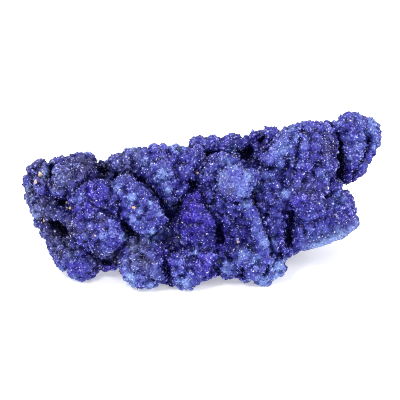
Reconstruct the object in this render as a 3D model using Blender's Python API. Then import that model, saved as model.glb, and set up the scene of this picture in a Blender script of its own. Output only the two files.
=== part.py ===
"""Azurite specimen: a cluster of blue knobs that grew together, standing on its own feet.

Metres, +Z up. The origin is on the surface that the specimen stands on, under the middle of its box.
+X runs along its length. Its display side faces -Y and is seen looking down by DISPLAY_TILT.
"""

import math

import bmesh
import bpy
from mathutils import Matrix, Vector

MM = 0.001

# The display side is laid out in its own frame, in millimetres: across to the right, rise up the face,
# toward out of it to the viewer. The far side is laid out in the upright frame: across, back and up.
DISPLAY_TILT = math.radians(25)
ACROSS = Vector((1, 0, 0))
RISE = Vector((0, math.sin(DISPLAY_TILT), math.cos(DISPLAY_TILT)))
TOWARD = Vector((0, -math.cos(DISPLAY_TILT), math.sin(DISPLAY_TILT)))
DISPLAY_FRAME = (ACROSS, RISE, TOWARD)
UPRIGHT_FRAME = (ACROSS, Vector((0, 1, 0)), Vector((0, 0, 1)))

BALL_SUBDIVISIONS = 3
SKIN_VOXEL = 0.6 * MM  # grain of the surface that joins the lobes
KNIT_VOXEL = 0.45 * MM  # grain of the surface after the pits are cut
TRIANGLES = 9200  # what the finished solid is thinned to
FLOOR = -14.0 * MM  # height at which the feet are worn flat, before the origin moves there

# Each lobe is the skin stretched over its balls, three numbers for the centre and one for the radius.
# One ball is a knob, two a ridge, more a slab.
FACE_LOBES = {
    "core": [
        [(-27, 0, -5, 4.6), (-25, -5, -4.5, 4.4), (-10, 1, -5, 6.2), (-10, -4.0, -4.4, 5.6)],
        [(-10, 1, -5, 6.2), (-10, -4.0, -4.4, 5.6), (8, 3, -5, 6.4), (8, -4.0, -4.4, 5.8)],
        [(8, 3, -5, 6.4), (8, -4.0, -4.4, 5.8), (20, 5, -5, 6.4), (20, -1.4, -4.6, 5.2)],
        [(21, 7, -5, 6.0), (22, 1, -4.6, 5.2), (27, 9, -5.4, 3.6)],
    ],
    "filling behind the display lobes": [
        [(-25.0, 1.0, -0.6, 3.2), (-22.0, -7.0, 0.4, 3.2), (-17.0, 0.0, 0.6, 3.2), (-15.0, -8.0, 0.6, 3.2)],
        [(-13.0, 0.0, 1.2, 3.0), (-11.0, -8.0, 1.0, 3.6), (-4.0, -6.0, 0.2, 2.8), (0.0, -8.6, 0.8, 3.2)],
        [(4.0, -2.0, 0.8, 3.0), (4.0, -8.0, 0.2, 2.8), (12.0, -2.0, 0.8, 3.2), (12.0, -9.0, 0.8, 3.2)],
    ],
    "left head": [
        [(-31.6, 5.8, 0.0, 2.4)],
        [(-33.6, 5.8, -0.6, 1.4)],
        [(-34.1, 3.4, -1.0, 1.6)],
        [(-27.6, 6.4, 0.4, 2.6)],
        [(-24.4, 6.9, -0.6, 2.7)],
        [(-22.6, 8.0, -1.0, 1.8)],
        [(-27.2, 4.4, 3.0, 3.2)],
        [(-28.4, 2.2, 3.4, 2.2)],
        [(-31.2, 2.6, 1.2, 2.8)],
        [(-23.4, 4.6, 1.8, 3.2)],
        [(-21.4, 5.6, -0.6, 2.0)],
        [(-25.0, 2.2, 3.0, 2.4)],
    ],
    "saddle behind the left gap": [
        [(-21.0, 5.2, -7.6, 2.8), (-16.0, 5.6, -8.0, 2.6)],
    ],
    "left wall": [
        [(-33.4, 1.0, -1.2, 1.9)],
        [(-32.6, -1.4, -0.6, 1.9)],
        [(-31.4, -1.6, 0.8, 2.2), (-27.0, -3.0, 3.2, 1.7)],
        [(-31.8, -4.4, -1.0, 1.7)],
        [(-30.2, -6.6, -1.0, 1.8)],
        [(-28.6, -8.8, -0.6, 1.9)],
        [(-28.0, -10.6, 0.0, 1.9)],
        [(-25.4, -8.4, 1.6, 2.6)],
    ],
    "first foot": [
        [(-23.6, -12.9, 1.6, 3.4)],
        [(-26.6, -11.8, 1.0, 2.5)],
        [(-21.2, -12.8, 0.4, 2.0)],
        [(-25.6, -10.8, 2.4, 2.2)],
        [(-22.8, -10.8, 2.6, 2.0)],
    ],
    "left shoulder": [
        [(-22.6, 0.4, 4.8, 3.2)],
        [(-19.8, 0.8, 4.8, 3.4)],
        [(-21.2, -2.2, 5.4, 3.6)],
        [(-17.8, 0.2, 4.4, 2.6)],
        [(-17.2, -2.4, 5.0, 2.6)],
        [(-24.2, -1.8, 4.2, 2.0)],
    ],
    "left belly": [
        [(-23.2, -6.0, 4.8, 3.2)],
        [(-20.4, -5.6, 5.4, 3.4)],
        [(-17.6, -6.6, 6.2, 3.6)],
        [(-19.2, -9.0, 5.4, 2.6)],
        [(-22.8, -8.2, 4.4, 2.4)],
        [(-16.0, -8.6, 5.4, 1.8)],
    ],
    "recess between the first feet": [
        [(-18.2, -12.6, 0.8, 1.8)],
        [(-16.6, -11.6, 1.0, 2.0)],
    ],
    "leaning block": [
        [(-15.0, 3.0, 5.6, 2.0), (-16.2, 1.2, 6.4, 1.8), (-13.2, -3.4, 7.6, 1.8), (-10.8, -5.2, 7.4, 2.0),
         (-8.8, -4.2, 7.2, 2.0), (-9.8, -1.4, 8.0, 2.2), (-13.0, 1.6, 7.6, 2.2)],
    ],
    "crest": [
        [(-16.6, 7.2, 0.6, 2.0)],
        [(-13.8, 8.0, 0.5, 2.5)],
        [(-11.0, 8.0, 1.4, 2.8)],
        [(-8.2, 8.6, 1.2, 2.7)],
        [(-7.4, 5.4, 4.0, 3.0)],
        [(-4.8, 8.4, 1.5, 2.8)],
        [(-2.0, 7.4, 2.0, 3.0)],
        [(-14.6, 5.6, 1.2, 2.2)],
        [(-10.6, 5.6, 2.4, 2.4)],
        [(-0.6, 9.2, 0.2, 1.8)],
    ],
    "wedge under the crest": [
        [(-8.6, 3.0, 3.0, 2.4), (-2.6, 4.4, 3.4, 2.6), (-5.6, -1.2, 3.2, 1.8)],
        [(-6.0, 2.6, 4.4, 2.4)],
        [(-3.8, 1.6, 4.0, 2.0)],
    ],
    "middle column": [
        [(-0.8, -0.8, 4.4, 2.5)],
        [(-1.2, -3.4, 5.8, 2.8)],
        [(1.0, -4.4, 5.8, 2.6)],
        [(-2.2, -6.4, 5.2, 2.4)],
        [(0.4, -7.6, 5.2, 2.8)],
        [(-4.8, -8.2, 1.6, 2.8)],
        [(-4.0, -5.0, 3.2, 2.2)],
        [(-2.0, -9.6, 3.8, 2.4)],
    ],
    "second foot": [
        [(-11.0, -12.7, 5.0, 5.0)],
        [(-14.2, -12.0, 5.0, 2.4)],
        [(-8.6, -14.4, 5.6, 2.6)],
        [(-8.2, -11.0, 5.4, 2.2)],
    ],
    "third foot": [
        [(-4.2, -12.8, 6.4, 2.6)],
        [(-6.4, -14.2, 3.8, 2.4)],
        [(-2.6, -15.4, 5.2, 2.6)],
        [(-4.8, -15.2, 5.6, 2.0)],
        [(-0.8, -13.6, 6.2, 2.6)],
        [(1.0, -11.8, 5.2, 2.8)],
        [(1.6, -14.0, 4.8, 2.0)],
        [(-2.0, -10.8, 5.6, 1.8)],
    ],
    "nodule": [
        [(6.8, 3.2, 10.2, 3.7)],
        [(4.4, 5.2, 4.8, 4.3)],
        [(1.6, 4.4, 4.4, 2.2)],
        [(2.4, 1.6, 4.8, 2.4)],
        [(9.8, 4.6, 7.0, 2.0)],
        [(6.2, 0.2, 6.4, 3.4)],
    ],
    "nodule stem": [
        [(8.4, -1.0, 7.4, 1.8), (10.4, -3.0, 7.2, 2.0)],
        [(11.0, -4.0, 7.0, 1.8), (12.0, -8.0, 6.6, 1.8)],
        [(12.0, -8.0, 6.6, 1.8), (12.4, -10.6, 6.0, 1.8)],
    ],
    "hollow by the stem": [
        [(6.4, -3.4, 3.6, 3.6), (8.4, -7.0, 3.8, 3.2)],
        [(4.6, -1.4, 4.4, 2.4)],
        [(5.6, -9.6, 3.4, 2.8)],
    ],
    "fourth foot": [
        [(5.8, -13.6, 3.8, 2.2)],
        [(9.0, -11.6, 5.8, 2.4)],
        [(12.4, -11.8, 5.6, 2.4)],
        [(7.2, -10.6, 4.6, 2.0)],
        [(10.2, -13.8, 5.0, 2.2)],
        [(15.0, -13.4, 3.2, 2.3)],
        [(12.2, -14.7, 3.4, 2.5)],
        [(9.6, -14.8, 3.8, 1.8)],
    ],
    "right waist": [
        [(13.4, 4.2, 3.4, 2.8)],
        [(15.0, 2.0, 3.6, 2.8)],
        [(12.8, 0.0, 4.2, 2.8)],
        [(15.6, -1.6, 3.8, 2.8)],
        [(14.2, -4.8, 3.8, 2.8)],
        [(15.8, -5.6, 2.6, 2.2)],
        [(15.2, -8.4, 3.4, 2.4)],
        [(16.6, -10.2, 1.8, 1.8)],
        [(17.4, -8.8, -1.6, 2.0)],
        [(18.4, -9.6, -1.0, 1.5)],
    ],
    "far crest": [
        [(-0.4, 10.6, -3.0, 2.3)],
        [(2.4, 11.0, -3.0, 2.1)],
        [(5.0, 10.6, -3.0, 2.3)],
        [(7.2, 11.8, -3.0, 1.7)],
        [(9.4, 10.8, -3.4, 2.2)],
        [(11.6, 12.0, -3.0, 2.1)],
        [(14.4, 12.8, -0.8, 1.9)],
        [(12.6, 9.6, -1.0, 2.2)],
    ],
    "oblong knob": [
        [(13.8, 8.2, 5.2, 2.1), (16.8, 11.0, 4.2, 2.3)],
        [(15.6, 7.4, 5.0, 1.7)],
    ],
    "right crest": [
        [(17.6, 12.4, 2.6, 2.4)],
        [(20.0, 13.0, 2.4, 2.6)],
        [(22.0, 13.6, 2.0, 2.4)],
        [(24.4, 13.2, 1.4, 2.4)],
        [(26.0, 13.9, 0.4, 2.0)],
        [(27.8, 13.6, -3.4, 2.4)],
    ],
    "right wall": [
        [(20.0, 10.0, 4.0, 3.2)],
        [(23.0, 10.4, 3.6, 3.0)],
        [(25.2, 10.2, 2.6, 2.6)],
        [(21.0, 7.0, 4.0, 3.2)],
        [(24.4, 7.0, 3.0, 3.0)],
        [(19.4, 4.2, 3.8, 2.8)],
        [(22.6, 3.4, 3.6, 3.2)],
        [(25.6, 3.2, 1.8, 2.6)],
        [(23.6, 5.6, 5.4, 1.3)],
    ],
    "right boss": [
        [(17.0, 1.2, 5.6, 1.5)],
        [(19.4, 0.4, 4.8, 2.6)],
        [(22.4, -1.2, 4.4, 2.8)],
        [(20.4, -2.6, 4.0, 2.4)],
    ],
    "right slab": [
        [(27.2, 0.8, 0.4, 1.7), (29.6, 0.2, 0.2, 1.2), (30.6, -4.4, 0.4, 1.2), (28.4, -6.4, 0.6, 1.4),
         (20.6, -8.6, 1.0, 1.7), (20.0, -4.0, 1.4, 2.0), (25.0, -3.0, 1.6, 1.8)],
        [(19.8, -6.8, 2.4, 1.5)],
        [(27.0, -1.6, -2.4, 2.8)],
        [(24.6, -5.3, -2.2, 2.8)],
        [(28.4, -3.6, -1.8, 2.2)],
    ],
    "right head": [
        [(30.4, 14.3, -2.0, 3.4), (30.6, 10.0, -1.6, 3.2)],
        [(33.3, 13.5, -3.0, 3.2)],
        [(31.2, 7.4, -2.0, 2.6)],
        [(34.9, 12.0, -3.6, 1.8)],
        [(33.4, 9.4, -3.4, 2.0)],
        [(31.4, 6.0, -3.4, 1.9)],
        [(29.2, 5.2, -3.2, 2.0)],
    ],
}

# The far side, in the upright frame.
BACK_LOBES = {
    "upper row": [
        [(-31.0, 5.5, 2.5, 2.6)],
        [(-28.4, 6.8, 3.4, 2.6), (-25.0, 6.0, 3.8, 2.4)],
        [(-21.0, 8.2, 1.0, 3.4)],
        [(-17.2, 6.6, 3.8, 2.4)],
        [(-13.4, 7.4, 3.4, 4.0), (-11.0, 7.6, 4.0, 3.4)],
        [(-7.4, 6.4, 5.8, 2.8)],
        [(-4.6, 9.0, 4.0, 3.4)],
        [(-0.4, 8.4, 6.0, 2.6)],
        [(4.4, 11.4, 4.0, 4.2)],
        [(9.4, 10.0, 5.8, 2.8)],
        [(13.4, 10.8, 5.4, 3.2), (15.6, 9.0, 8.2, 2.8)],
        [(20.4, 8.8, 7.8, 4.2)],
        [(25.2, 8.0, 9.6, 2.8)],
        [(26.6, 10.4, 6.4, 2.8)],
        [(30.0, 11.2, 8.0, 3.3)],
        [(33.0, 10.2, 6.2, 2.4)],
    ],
    "middle row": [
        [(-31.0, 4.6, -2.2, 2.4)],
        [(-28.6, 7.4, -2.6, 2.6)],
        [(-27.0, 8.4, -5.4, 2.6)],
        [(-23.4, 9.8, -1.6, 3.8)],
        [(-19.4, 11.8, -4.0, 2.8), (-16.6, 12.2, -2.4, 2.8)],
        [(-12.6, 11.2, -1.0, 4.4)],
        [(-8.0, 13.2, -3.0, 2.6)],
        [(-6.6, 11.4, 1.2, 2.8)],
        [(-2.4, 13.2, -1.0, 4.2)],
        [(3.2, 14.8, -1.6, 3.0), (5.8, 13.6, 1.6, 3.4)],
        [(8.2, 15.2, -3.0, 2.6)],
        [(11.4, 14.0, 0.2, 3.8)],
        [(16.0, 13.8, -0.4, 3.0)],
        [(17.2, 12.2, 3.6, 3.2)],
        [(21.6, 12.4, 1.4, 4.4)],
        [(26.6, 12.6, 2.4, 3.4)],
        [(30.0, 11.8, 4.4, 2.5)],
    ],
    "lower row": [
        [(-29.2, 5.4, -7.8, 2.3)],
        [(-24.8, 8.6, -7.6, 3.6)],
        [(-20.0, 10.8, -8.4, 2.8)],
        [(-16.8, 10.6, -6.4, 3.6)],
        [(-12.0, 12.6, -6.2, 2.8), (-8.8, 12.4, -7.8, 3.4)],
        [(-4.4, 12.2, -6.0, 3.8)],
        [(0.2, 13.6, -7.4, 2.8)],
        [(4.6, 12.6, -6.4, 4.2)],
        [(9.6, 13.6, -7.6, 2.8)],
        [(12.6, 13.6, -4.4, 3.2)],
        [(16.4, 11.8, -6.6, 4.0)],
        [(20.8, 12.8, -3.6, 3.2), (22.4, 11.6, -5.6, 3.2)],
        [(26.0, 9.4, -5.0, 3.0)],
        [(27.4, 7.0, -7.0, 2.4)],
    ],
    "back feet": [
        [(-20.2, 9.0, -10.9, 3.5)],
        [(-23.8, 6.6, -10.6, 2.6)],
        [(-16.4, 8.4, -9.8, 2.6)],
        [(20.4, 9.4, -10.9, 3.5)],
        [(16.6, 10.0, -9.8, 2.8)],
        [(23.6, 7.4, -9.4, 2.6)],
        [(17.4, 6.4, -10.0, 2.6)],
    ],
    "underside": [
        [(-26.6, 3.0, -8.8, 2.8)],
        [(-20.6, 2.6, -9.6, 3.2)],
        [(-14.6, 5.2, -9.6, 3.0)],
        [(-12.6, -0.6, -10.0, 3.2)],
        [(-8.6, 7.0, -9.8, 3.0)],
        [(-5.4, 2.4, -10.2, 2.8), (-3.0, 4.0, -9.8, 3.0)],
        [(-1.6, 9.0, -9.4, 3.0)],
        [(1.6, -0.4, -9.8, 3.4)],
        [(5.0, 5.6, -9.8, 3.2)],
        [(9.4, 1.0, -9.6, 3.0)],
        [(10.6, 8.0, -9.4, 3.2)],
        [(15.4, 1.6, -9.0, 3.4)],
        [(21.4, 3.6, -7.6, 3.2)],
        [(-23.0, -2.4, -8.6, 2.8)],
        [(-17.0, -4.6, -8.6, 3.0)],
        [(-8.0, -5.0, -9.2, 3.2)],
        [(0.2, -5.6, -9.4, 2.8)],
        [(7.6, -4.6, -9.0, 3.0)],
        [(13.6, -3.6, -8.4, 3.0)],
    ],
}

# Pits and crevices of the display side, each a skin stretched from its floor out past the surface.
FACE_HOLLOWS = {
    "gap behind the left head": [[(-19.6, 6.0, -4.5, 1.2), (-19.4, 6.5, 2.0, 1.6)]],
    "holes under the left ledge": [
        [(-27.2, -0.8, 0.0, 0.8), (-27.8, -0.4, 5.0, 1.0)],
        [(-29.0, -4.8, -2.5, 0.9), (-29.0, -4.6, 2.5, 1.1)],
        [(-27.0, -6.4, -0.8, 1.1), (-27.0, -6.4, 4.0, 1.3)],
    ],
    "cleft in the left head": [
        [(-29.7, 7.0, -1.0, 0.4), (-29.6, 3.8, 0.5, 0.4), (-29.9, 7.6, 4.0, 0.7), (-29.6, 3.4, 5.0, 0.7)],
    ],
    "holes among the knobs": [
        [(-1.4, 2.9, 1.2, 0.9), (-1.4, 3.1, 7.0, 1.2)],
        [(-5.6, -3.6, 0.6, 0.8), (-5.6, -3.6, 6.0, 1.0)],
        [(1.4, 9.4, -4.0, 0.6), (1.4, 9.5, 1.0, 0.8)],
        [(12.3, 11.8, -3.5, 0.8), (12.5, 12.1, 2.0, 1.0)],
        [(20.0, -4.4, 2.5, 0.6), (20.0, -4.4, 8.0, 0.9)],
        [(-11.4, -11.0, 7.4, 0.5), (-11.4, -11.0, 12.0, 0.9)],
        [(6.6, -4.6, 4.0, 0.8), (6.6, -4.4, 9.0, 1.1)],
    ],
    "hollow behind the nodule": [
        [(9.1, 8.8, -3.5, 1.2), (10.4, 10.0, -3.5, 1.0), (9.2, 9.2, 2.0, 1.5)],
    ],
    "cleft beside the right head": [
        [(28.2, 12.6, -3.4, 0.6), (27.6, 5.4, -4.2, 0.8), (28.4, 13.2, 2.0, 0.9), (27.6, 4.8, 2.0, 1.2)],
    ],
    "groove down the right head": [
        [(34.2, 12.6, -3.0, 0.3), (33.0, 9.6, -3.0, 0.3), (34.9, 13.2, 1.0, 0.6), (33.4, 9.4, 2.0, 0.6)],
        [(33.0, 9.6, -3.0, 0.3), (31.2, 5.4, -3.4, 0.3), (33.4, 9.4, 2.0, 0.6), (31.4, 4.8, 1.0, 0.6)],
    ],
    "groove in the right wall": [
        [(19.0, 11.0, 4.2, 0.3), (19.5, 7.0, 4.2, 0.3), (18.8, 11.4, 9.0, 0.6), (19.5, 6.8, 9.0, 0.6)],
    ],
    "crevice beside the slab": [
        [(18.0, -2.4, 1.5, 0.6), (17.5, -8.4, 1.2, 0.6), (18.2, -2.2, 7.5, 0.9), (17.5, -8.8, 6.0, 0.9)],
    ],
    "crevices around the leaning block": [
        [(-15.2, -4.6, 5.0, 0.6), (-13.4, -7.4, 2.0, 0.8),
         (-15.4, -4.4, 11.0, 0.8), (-13.4, -7.8, 9.0, 0.9)],
        [(-12.2, 4.3, 1.0, 0.5), (-6.9, -1.9, 1.5, 0.7), (-11.9, 4.8, 6.5, 0.8), (-6.5, -1.6, 6.5, 0.8)],
        [(-4.2, -0.4, 1.5, 0.5), (-5.4, -3.0, 1.0, 0.6), (-4.2, -0.2, 7.0, 0.8), (-5.4, -3.0, 6.0, 0.8)],
    ],
    "crevice between the feet": [
        [(-6.6, -12.2, 4.0, 0.4), (-6.3, -15.0, 5.2, 0.4),
         (-6.8, -12.0, 11.0, 0.8), (-6.2, -16.4, 11.0, 0.8)],
    ],
    "crevice by the stem": [
        [(3.6, -4.8, 3.0, 0.5), (4.3, -8.4, 2.0, 0.6), (3.6, -4.6, 10.0, 0.8), (4.4, -8.6, 9.0, 0.9)],
    ],
}

# Pits of the far side, in the upright frame.
BACK_HOLLOWS = {
    "pits": [
        [(-21.0, 9.0, -4.8, 0.9), (-21.0, 15.0, -4.8, 1.4)],
        [(-15.6, 9.0, 1.8, 0.8), (-15.8, 14.0, 2.4, 1.3)],
        [(-5.0, 11.0, -4.2, 1.0), (-5.0, 18.0, -4.4, 1.6)],
        [(0.8, 10.0, 2.6, 0.8), (0.8, 16.0, 3.4, 1.4)],
        [(7.0, 12.0, -4.6, 0.9), (7.0, 19.0, -4.8, 1.5)],
        [(12.8, 11.0, 3.0, 0.8), (12.6, 17.0, 4.2, 1.3)],
        [(18.2, 11.5, -1.2, 0.9), (18.2, 18.0, -1.2, 1.4)],
        [(23.6, 9.5, 5.8, 0.8), (23.8, 15.0, 6.4, 1.3)],
        [(-25.0, 5.0, -0.6, 0.8), (-26.0, 12.0, -0.4, 1.3)],
    ],
}


def place(ball, frame):
    """Where a ball's centre is, in metres, from its place in one of the two frames."""
    return sum((axis * step for axis, step in zip(frame, ball)), Vector()) * MM


def add_lobe(shape, balls, frame):
    """Adds the skin stretched over these balls to shape, a bmesh."""
    lobe = bmesh.new()
    for ball in balls:
        centre = Matrix.Translation(place(ball, frame))
        bmesh.ops.create_icosphere(lobe, subdivisions=BALL_SUBDIVISIONS, radius=ball[3] * MM, matrix=centre)
    if len(balls) > 1:
        hull = bmesh.ops.convex_hull(lobe, input=lobe.verts)
        inside = set(hull["geom_interior"]) | set(hull["geom_unused"])
        loose = [v for v in inside if isinstance(v, bmesh.types.BMVert)]
        bmesh.ops.delete(lobe, geom=loose, context="VERTS")
    mesh = bpy.data.meshes.new("lobe")
    lobe.to_mesh(mesh)
    lobe.free()
    shape.from_mesh(mesh)
    bpy.data.meshes.remove(mesh)


def joined(name, face_groups, back_groups):
    """One object whose skin encloses every lobe of both sides."""
    shape = bmesh.new()
    for groups, frame in ((face_groups, DISPLAY_FRAME), (back_groups, UPRIGHT_FRAME)):
        for group in groups.values():
            for balls in group:
                add_lobe(shape, balls, frame)
    mesh = bpy.data.meshes.new(name)
    shape.to_mesh(mesh)
    shape.free()
    thing = bpy.data.objects.new(name, mesh)
    bpy.context.scene.collection.objects.link(thing)
    skin = thing.modifiers.new("skin", "REMESH")
    skin.mode = "VOXEL"
    skin.voxel_size = SKIN_VOXEL
    return thing


def apply_modifiers(thing):
    """Makes the modifiers' result the object's own mesh."""
    shown = thing.evaluated_get(bpy.context.evaluated_depsgraph_get())
    mesh = bpy.data.meshes.new_from_object(shown)
    thing.modifiers.clear()
    thing.data = mesh


def azurite_material():
    material = bpy.data.materials.new("azurite")
    material.use_nodes = True
    shader = material.node_tree.nodes["Principled BSDF"]
    shader.inputs["Base Color"].default_value = (0.070, 0.075, 0.300, 1)
    shader.inputs["Roughness"].default_value = 0.45
    shader.inputs["Metallic"].default_value = 0
    return material


# Start from an empty scene.
for thing in list(bpy.data.objects):
    bpy.data.objects.remove(thing)

# The lobes grown together, with the pits and crevices cut out of them and their edges knitted round.
cluster = joined("azurite_cluster", FACE_LOBES, BACK_LOBES)
hollows = joined("hollows", FACE_HOLLOWS, BACK_HOLLOWS)
hollows.display_type = "WIRE"
hollows.hide_render = True
cut = cluster.modifiers.new("pits and crevices", "BOOLEAN")
cut.operation = "DIFFERENCE"
cut.solver = "EXACT"
cut.object = hollows
knit = cluster.modifiers.new("knit", "REMESH")
knit.mode = "VOXEL"
knit.voxel_size = KNIT_VOXEL
apply_modifiers(cluster)
bpy.data.objects.remove(hollows)

# Thinned to the triangle budget.
thin = cluster.modifiers.new("thin", "DECIMATE")
thin.ratio = TRIANGLES / len(cluster.data.loop_triangles)
apply_modifiers(cluster)

# The feet worn flat where they rest, and the origin moved to the floor under the middle of the box.
body = bmesh.new()
body.from_mesh(cluster.data)
for corner in body.verts:
    corner.co.z = max(corner.co.z, FLOOR)
low = Vector([min(corner.co[i] for corner in body.verts) for i in range(3)])
high = Vector([max(corner.co[i] for corner in body.verts) for i in range(3)])
middle = (low + high) / 2
DISPLAY_ORIGIN = Vector((-middle.x, -middle.y, -FLOOR))
bmesh.ops.translate(body, verts=body.verts[:], vec=DISPLAY_ORIGIN)
body.to_mesh(cluster.data)
body.free()
cluster.data.materials.clear()
cluster.data.materials.append(azurite_material())
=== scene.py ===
"""Looks of the azurite specimen: the grown body with its knobs, the druse of crystals that covers it, a few
foreign grains, and the studio it is shown in. Metres, in the part's own frame.
"""
import math

import bmesh
import bpy
import numpy as np
from mathutils import Euler, Matrix, Vector, noise
from mathutils.bvhtree import BVHTree


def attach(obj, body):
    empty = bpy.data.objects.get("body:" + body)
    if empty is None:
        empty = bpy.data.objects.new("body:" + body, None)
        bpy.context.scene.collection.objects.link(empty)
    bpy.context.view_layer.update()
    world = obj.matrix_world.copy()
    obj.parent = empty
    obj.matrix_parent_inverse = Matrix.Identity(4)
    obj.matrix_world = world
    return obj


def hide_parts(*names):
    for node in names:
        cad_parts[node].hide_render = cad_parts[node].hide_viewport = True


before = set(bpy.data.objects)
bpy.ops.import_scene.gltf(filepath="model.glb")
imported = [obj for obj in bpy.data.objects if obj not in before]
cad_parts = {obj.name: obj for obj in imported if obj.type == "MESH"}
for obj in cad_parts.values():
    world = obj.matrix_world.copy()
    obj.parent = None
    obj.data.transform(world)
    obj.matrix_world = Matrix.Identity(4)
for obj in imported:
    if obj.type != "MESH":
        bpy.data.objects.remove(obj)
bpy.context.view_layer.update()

# ---- Body ----
# The grown mass itself: solid azurite, its lobes covered in knobs a few millimetres across that swelled out
# side by side, with pits and crevices left between them.

MM = 0.001
display_tilt = math.radians(25)  # how far the display side leans back
across_axis = Vector((1, 0, 0))
rise_axis = Vector((0, math.sin(display_tilt), math.cos(display_tilt)))
toward_axis = Vector((0, -math.cos(display_tilt), math.sin(display_tilt)))
display_origin = Vector((-0.500, -1.458, 14.000)) * MM
knob_proud = 0.46  # share of a knob's radius that stands above the lobe it grew on
edge_knob_proud = 0.35  # the same for the worn knobs round the edge of the display side
cleft_depth = 0.55 * MM  # how far the lobes' own skin lies back between the knobs
body_voxel = 0.25 * MM
body_triangles = 186000
chance_knobs = 16000  # places where a knob of chance size is tried
early_knobs = 9000  # the first of those places, where it may grow large
knob_radii = (0.55, 0.9, 1.7)  # least, usual and greatest, in millimetres
late_knob_greatest = 0.9
seen_knob_radii = (0.5, 0.8)  # between the display side's own knobs
shut_in_knob_radius = 0.5
crowding = 0.78  # how near two knobs may stand, as a share of their two radii
shut_in_reach = 3 * MM  # a wall this near above a place shuts it in

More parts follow.
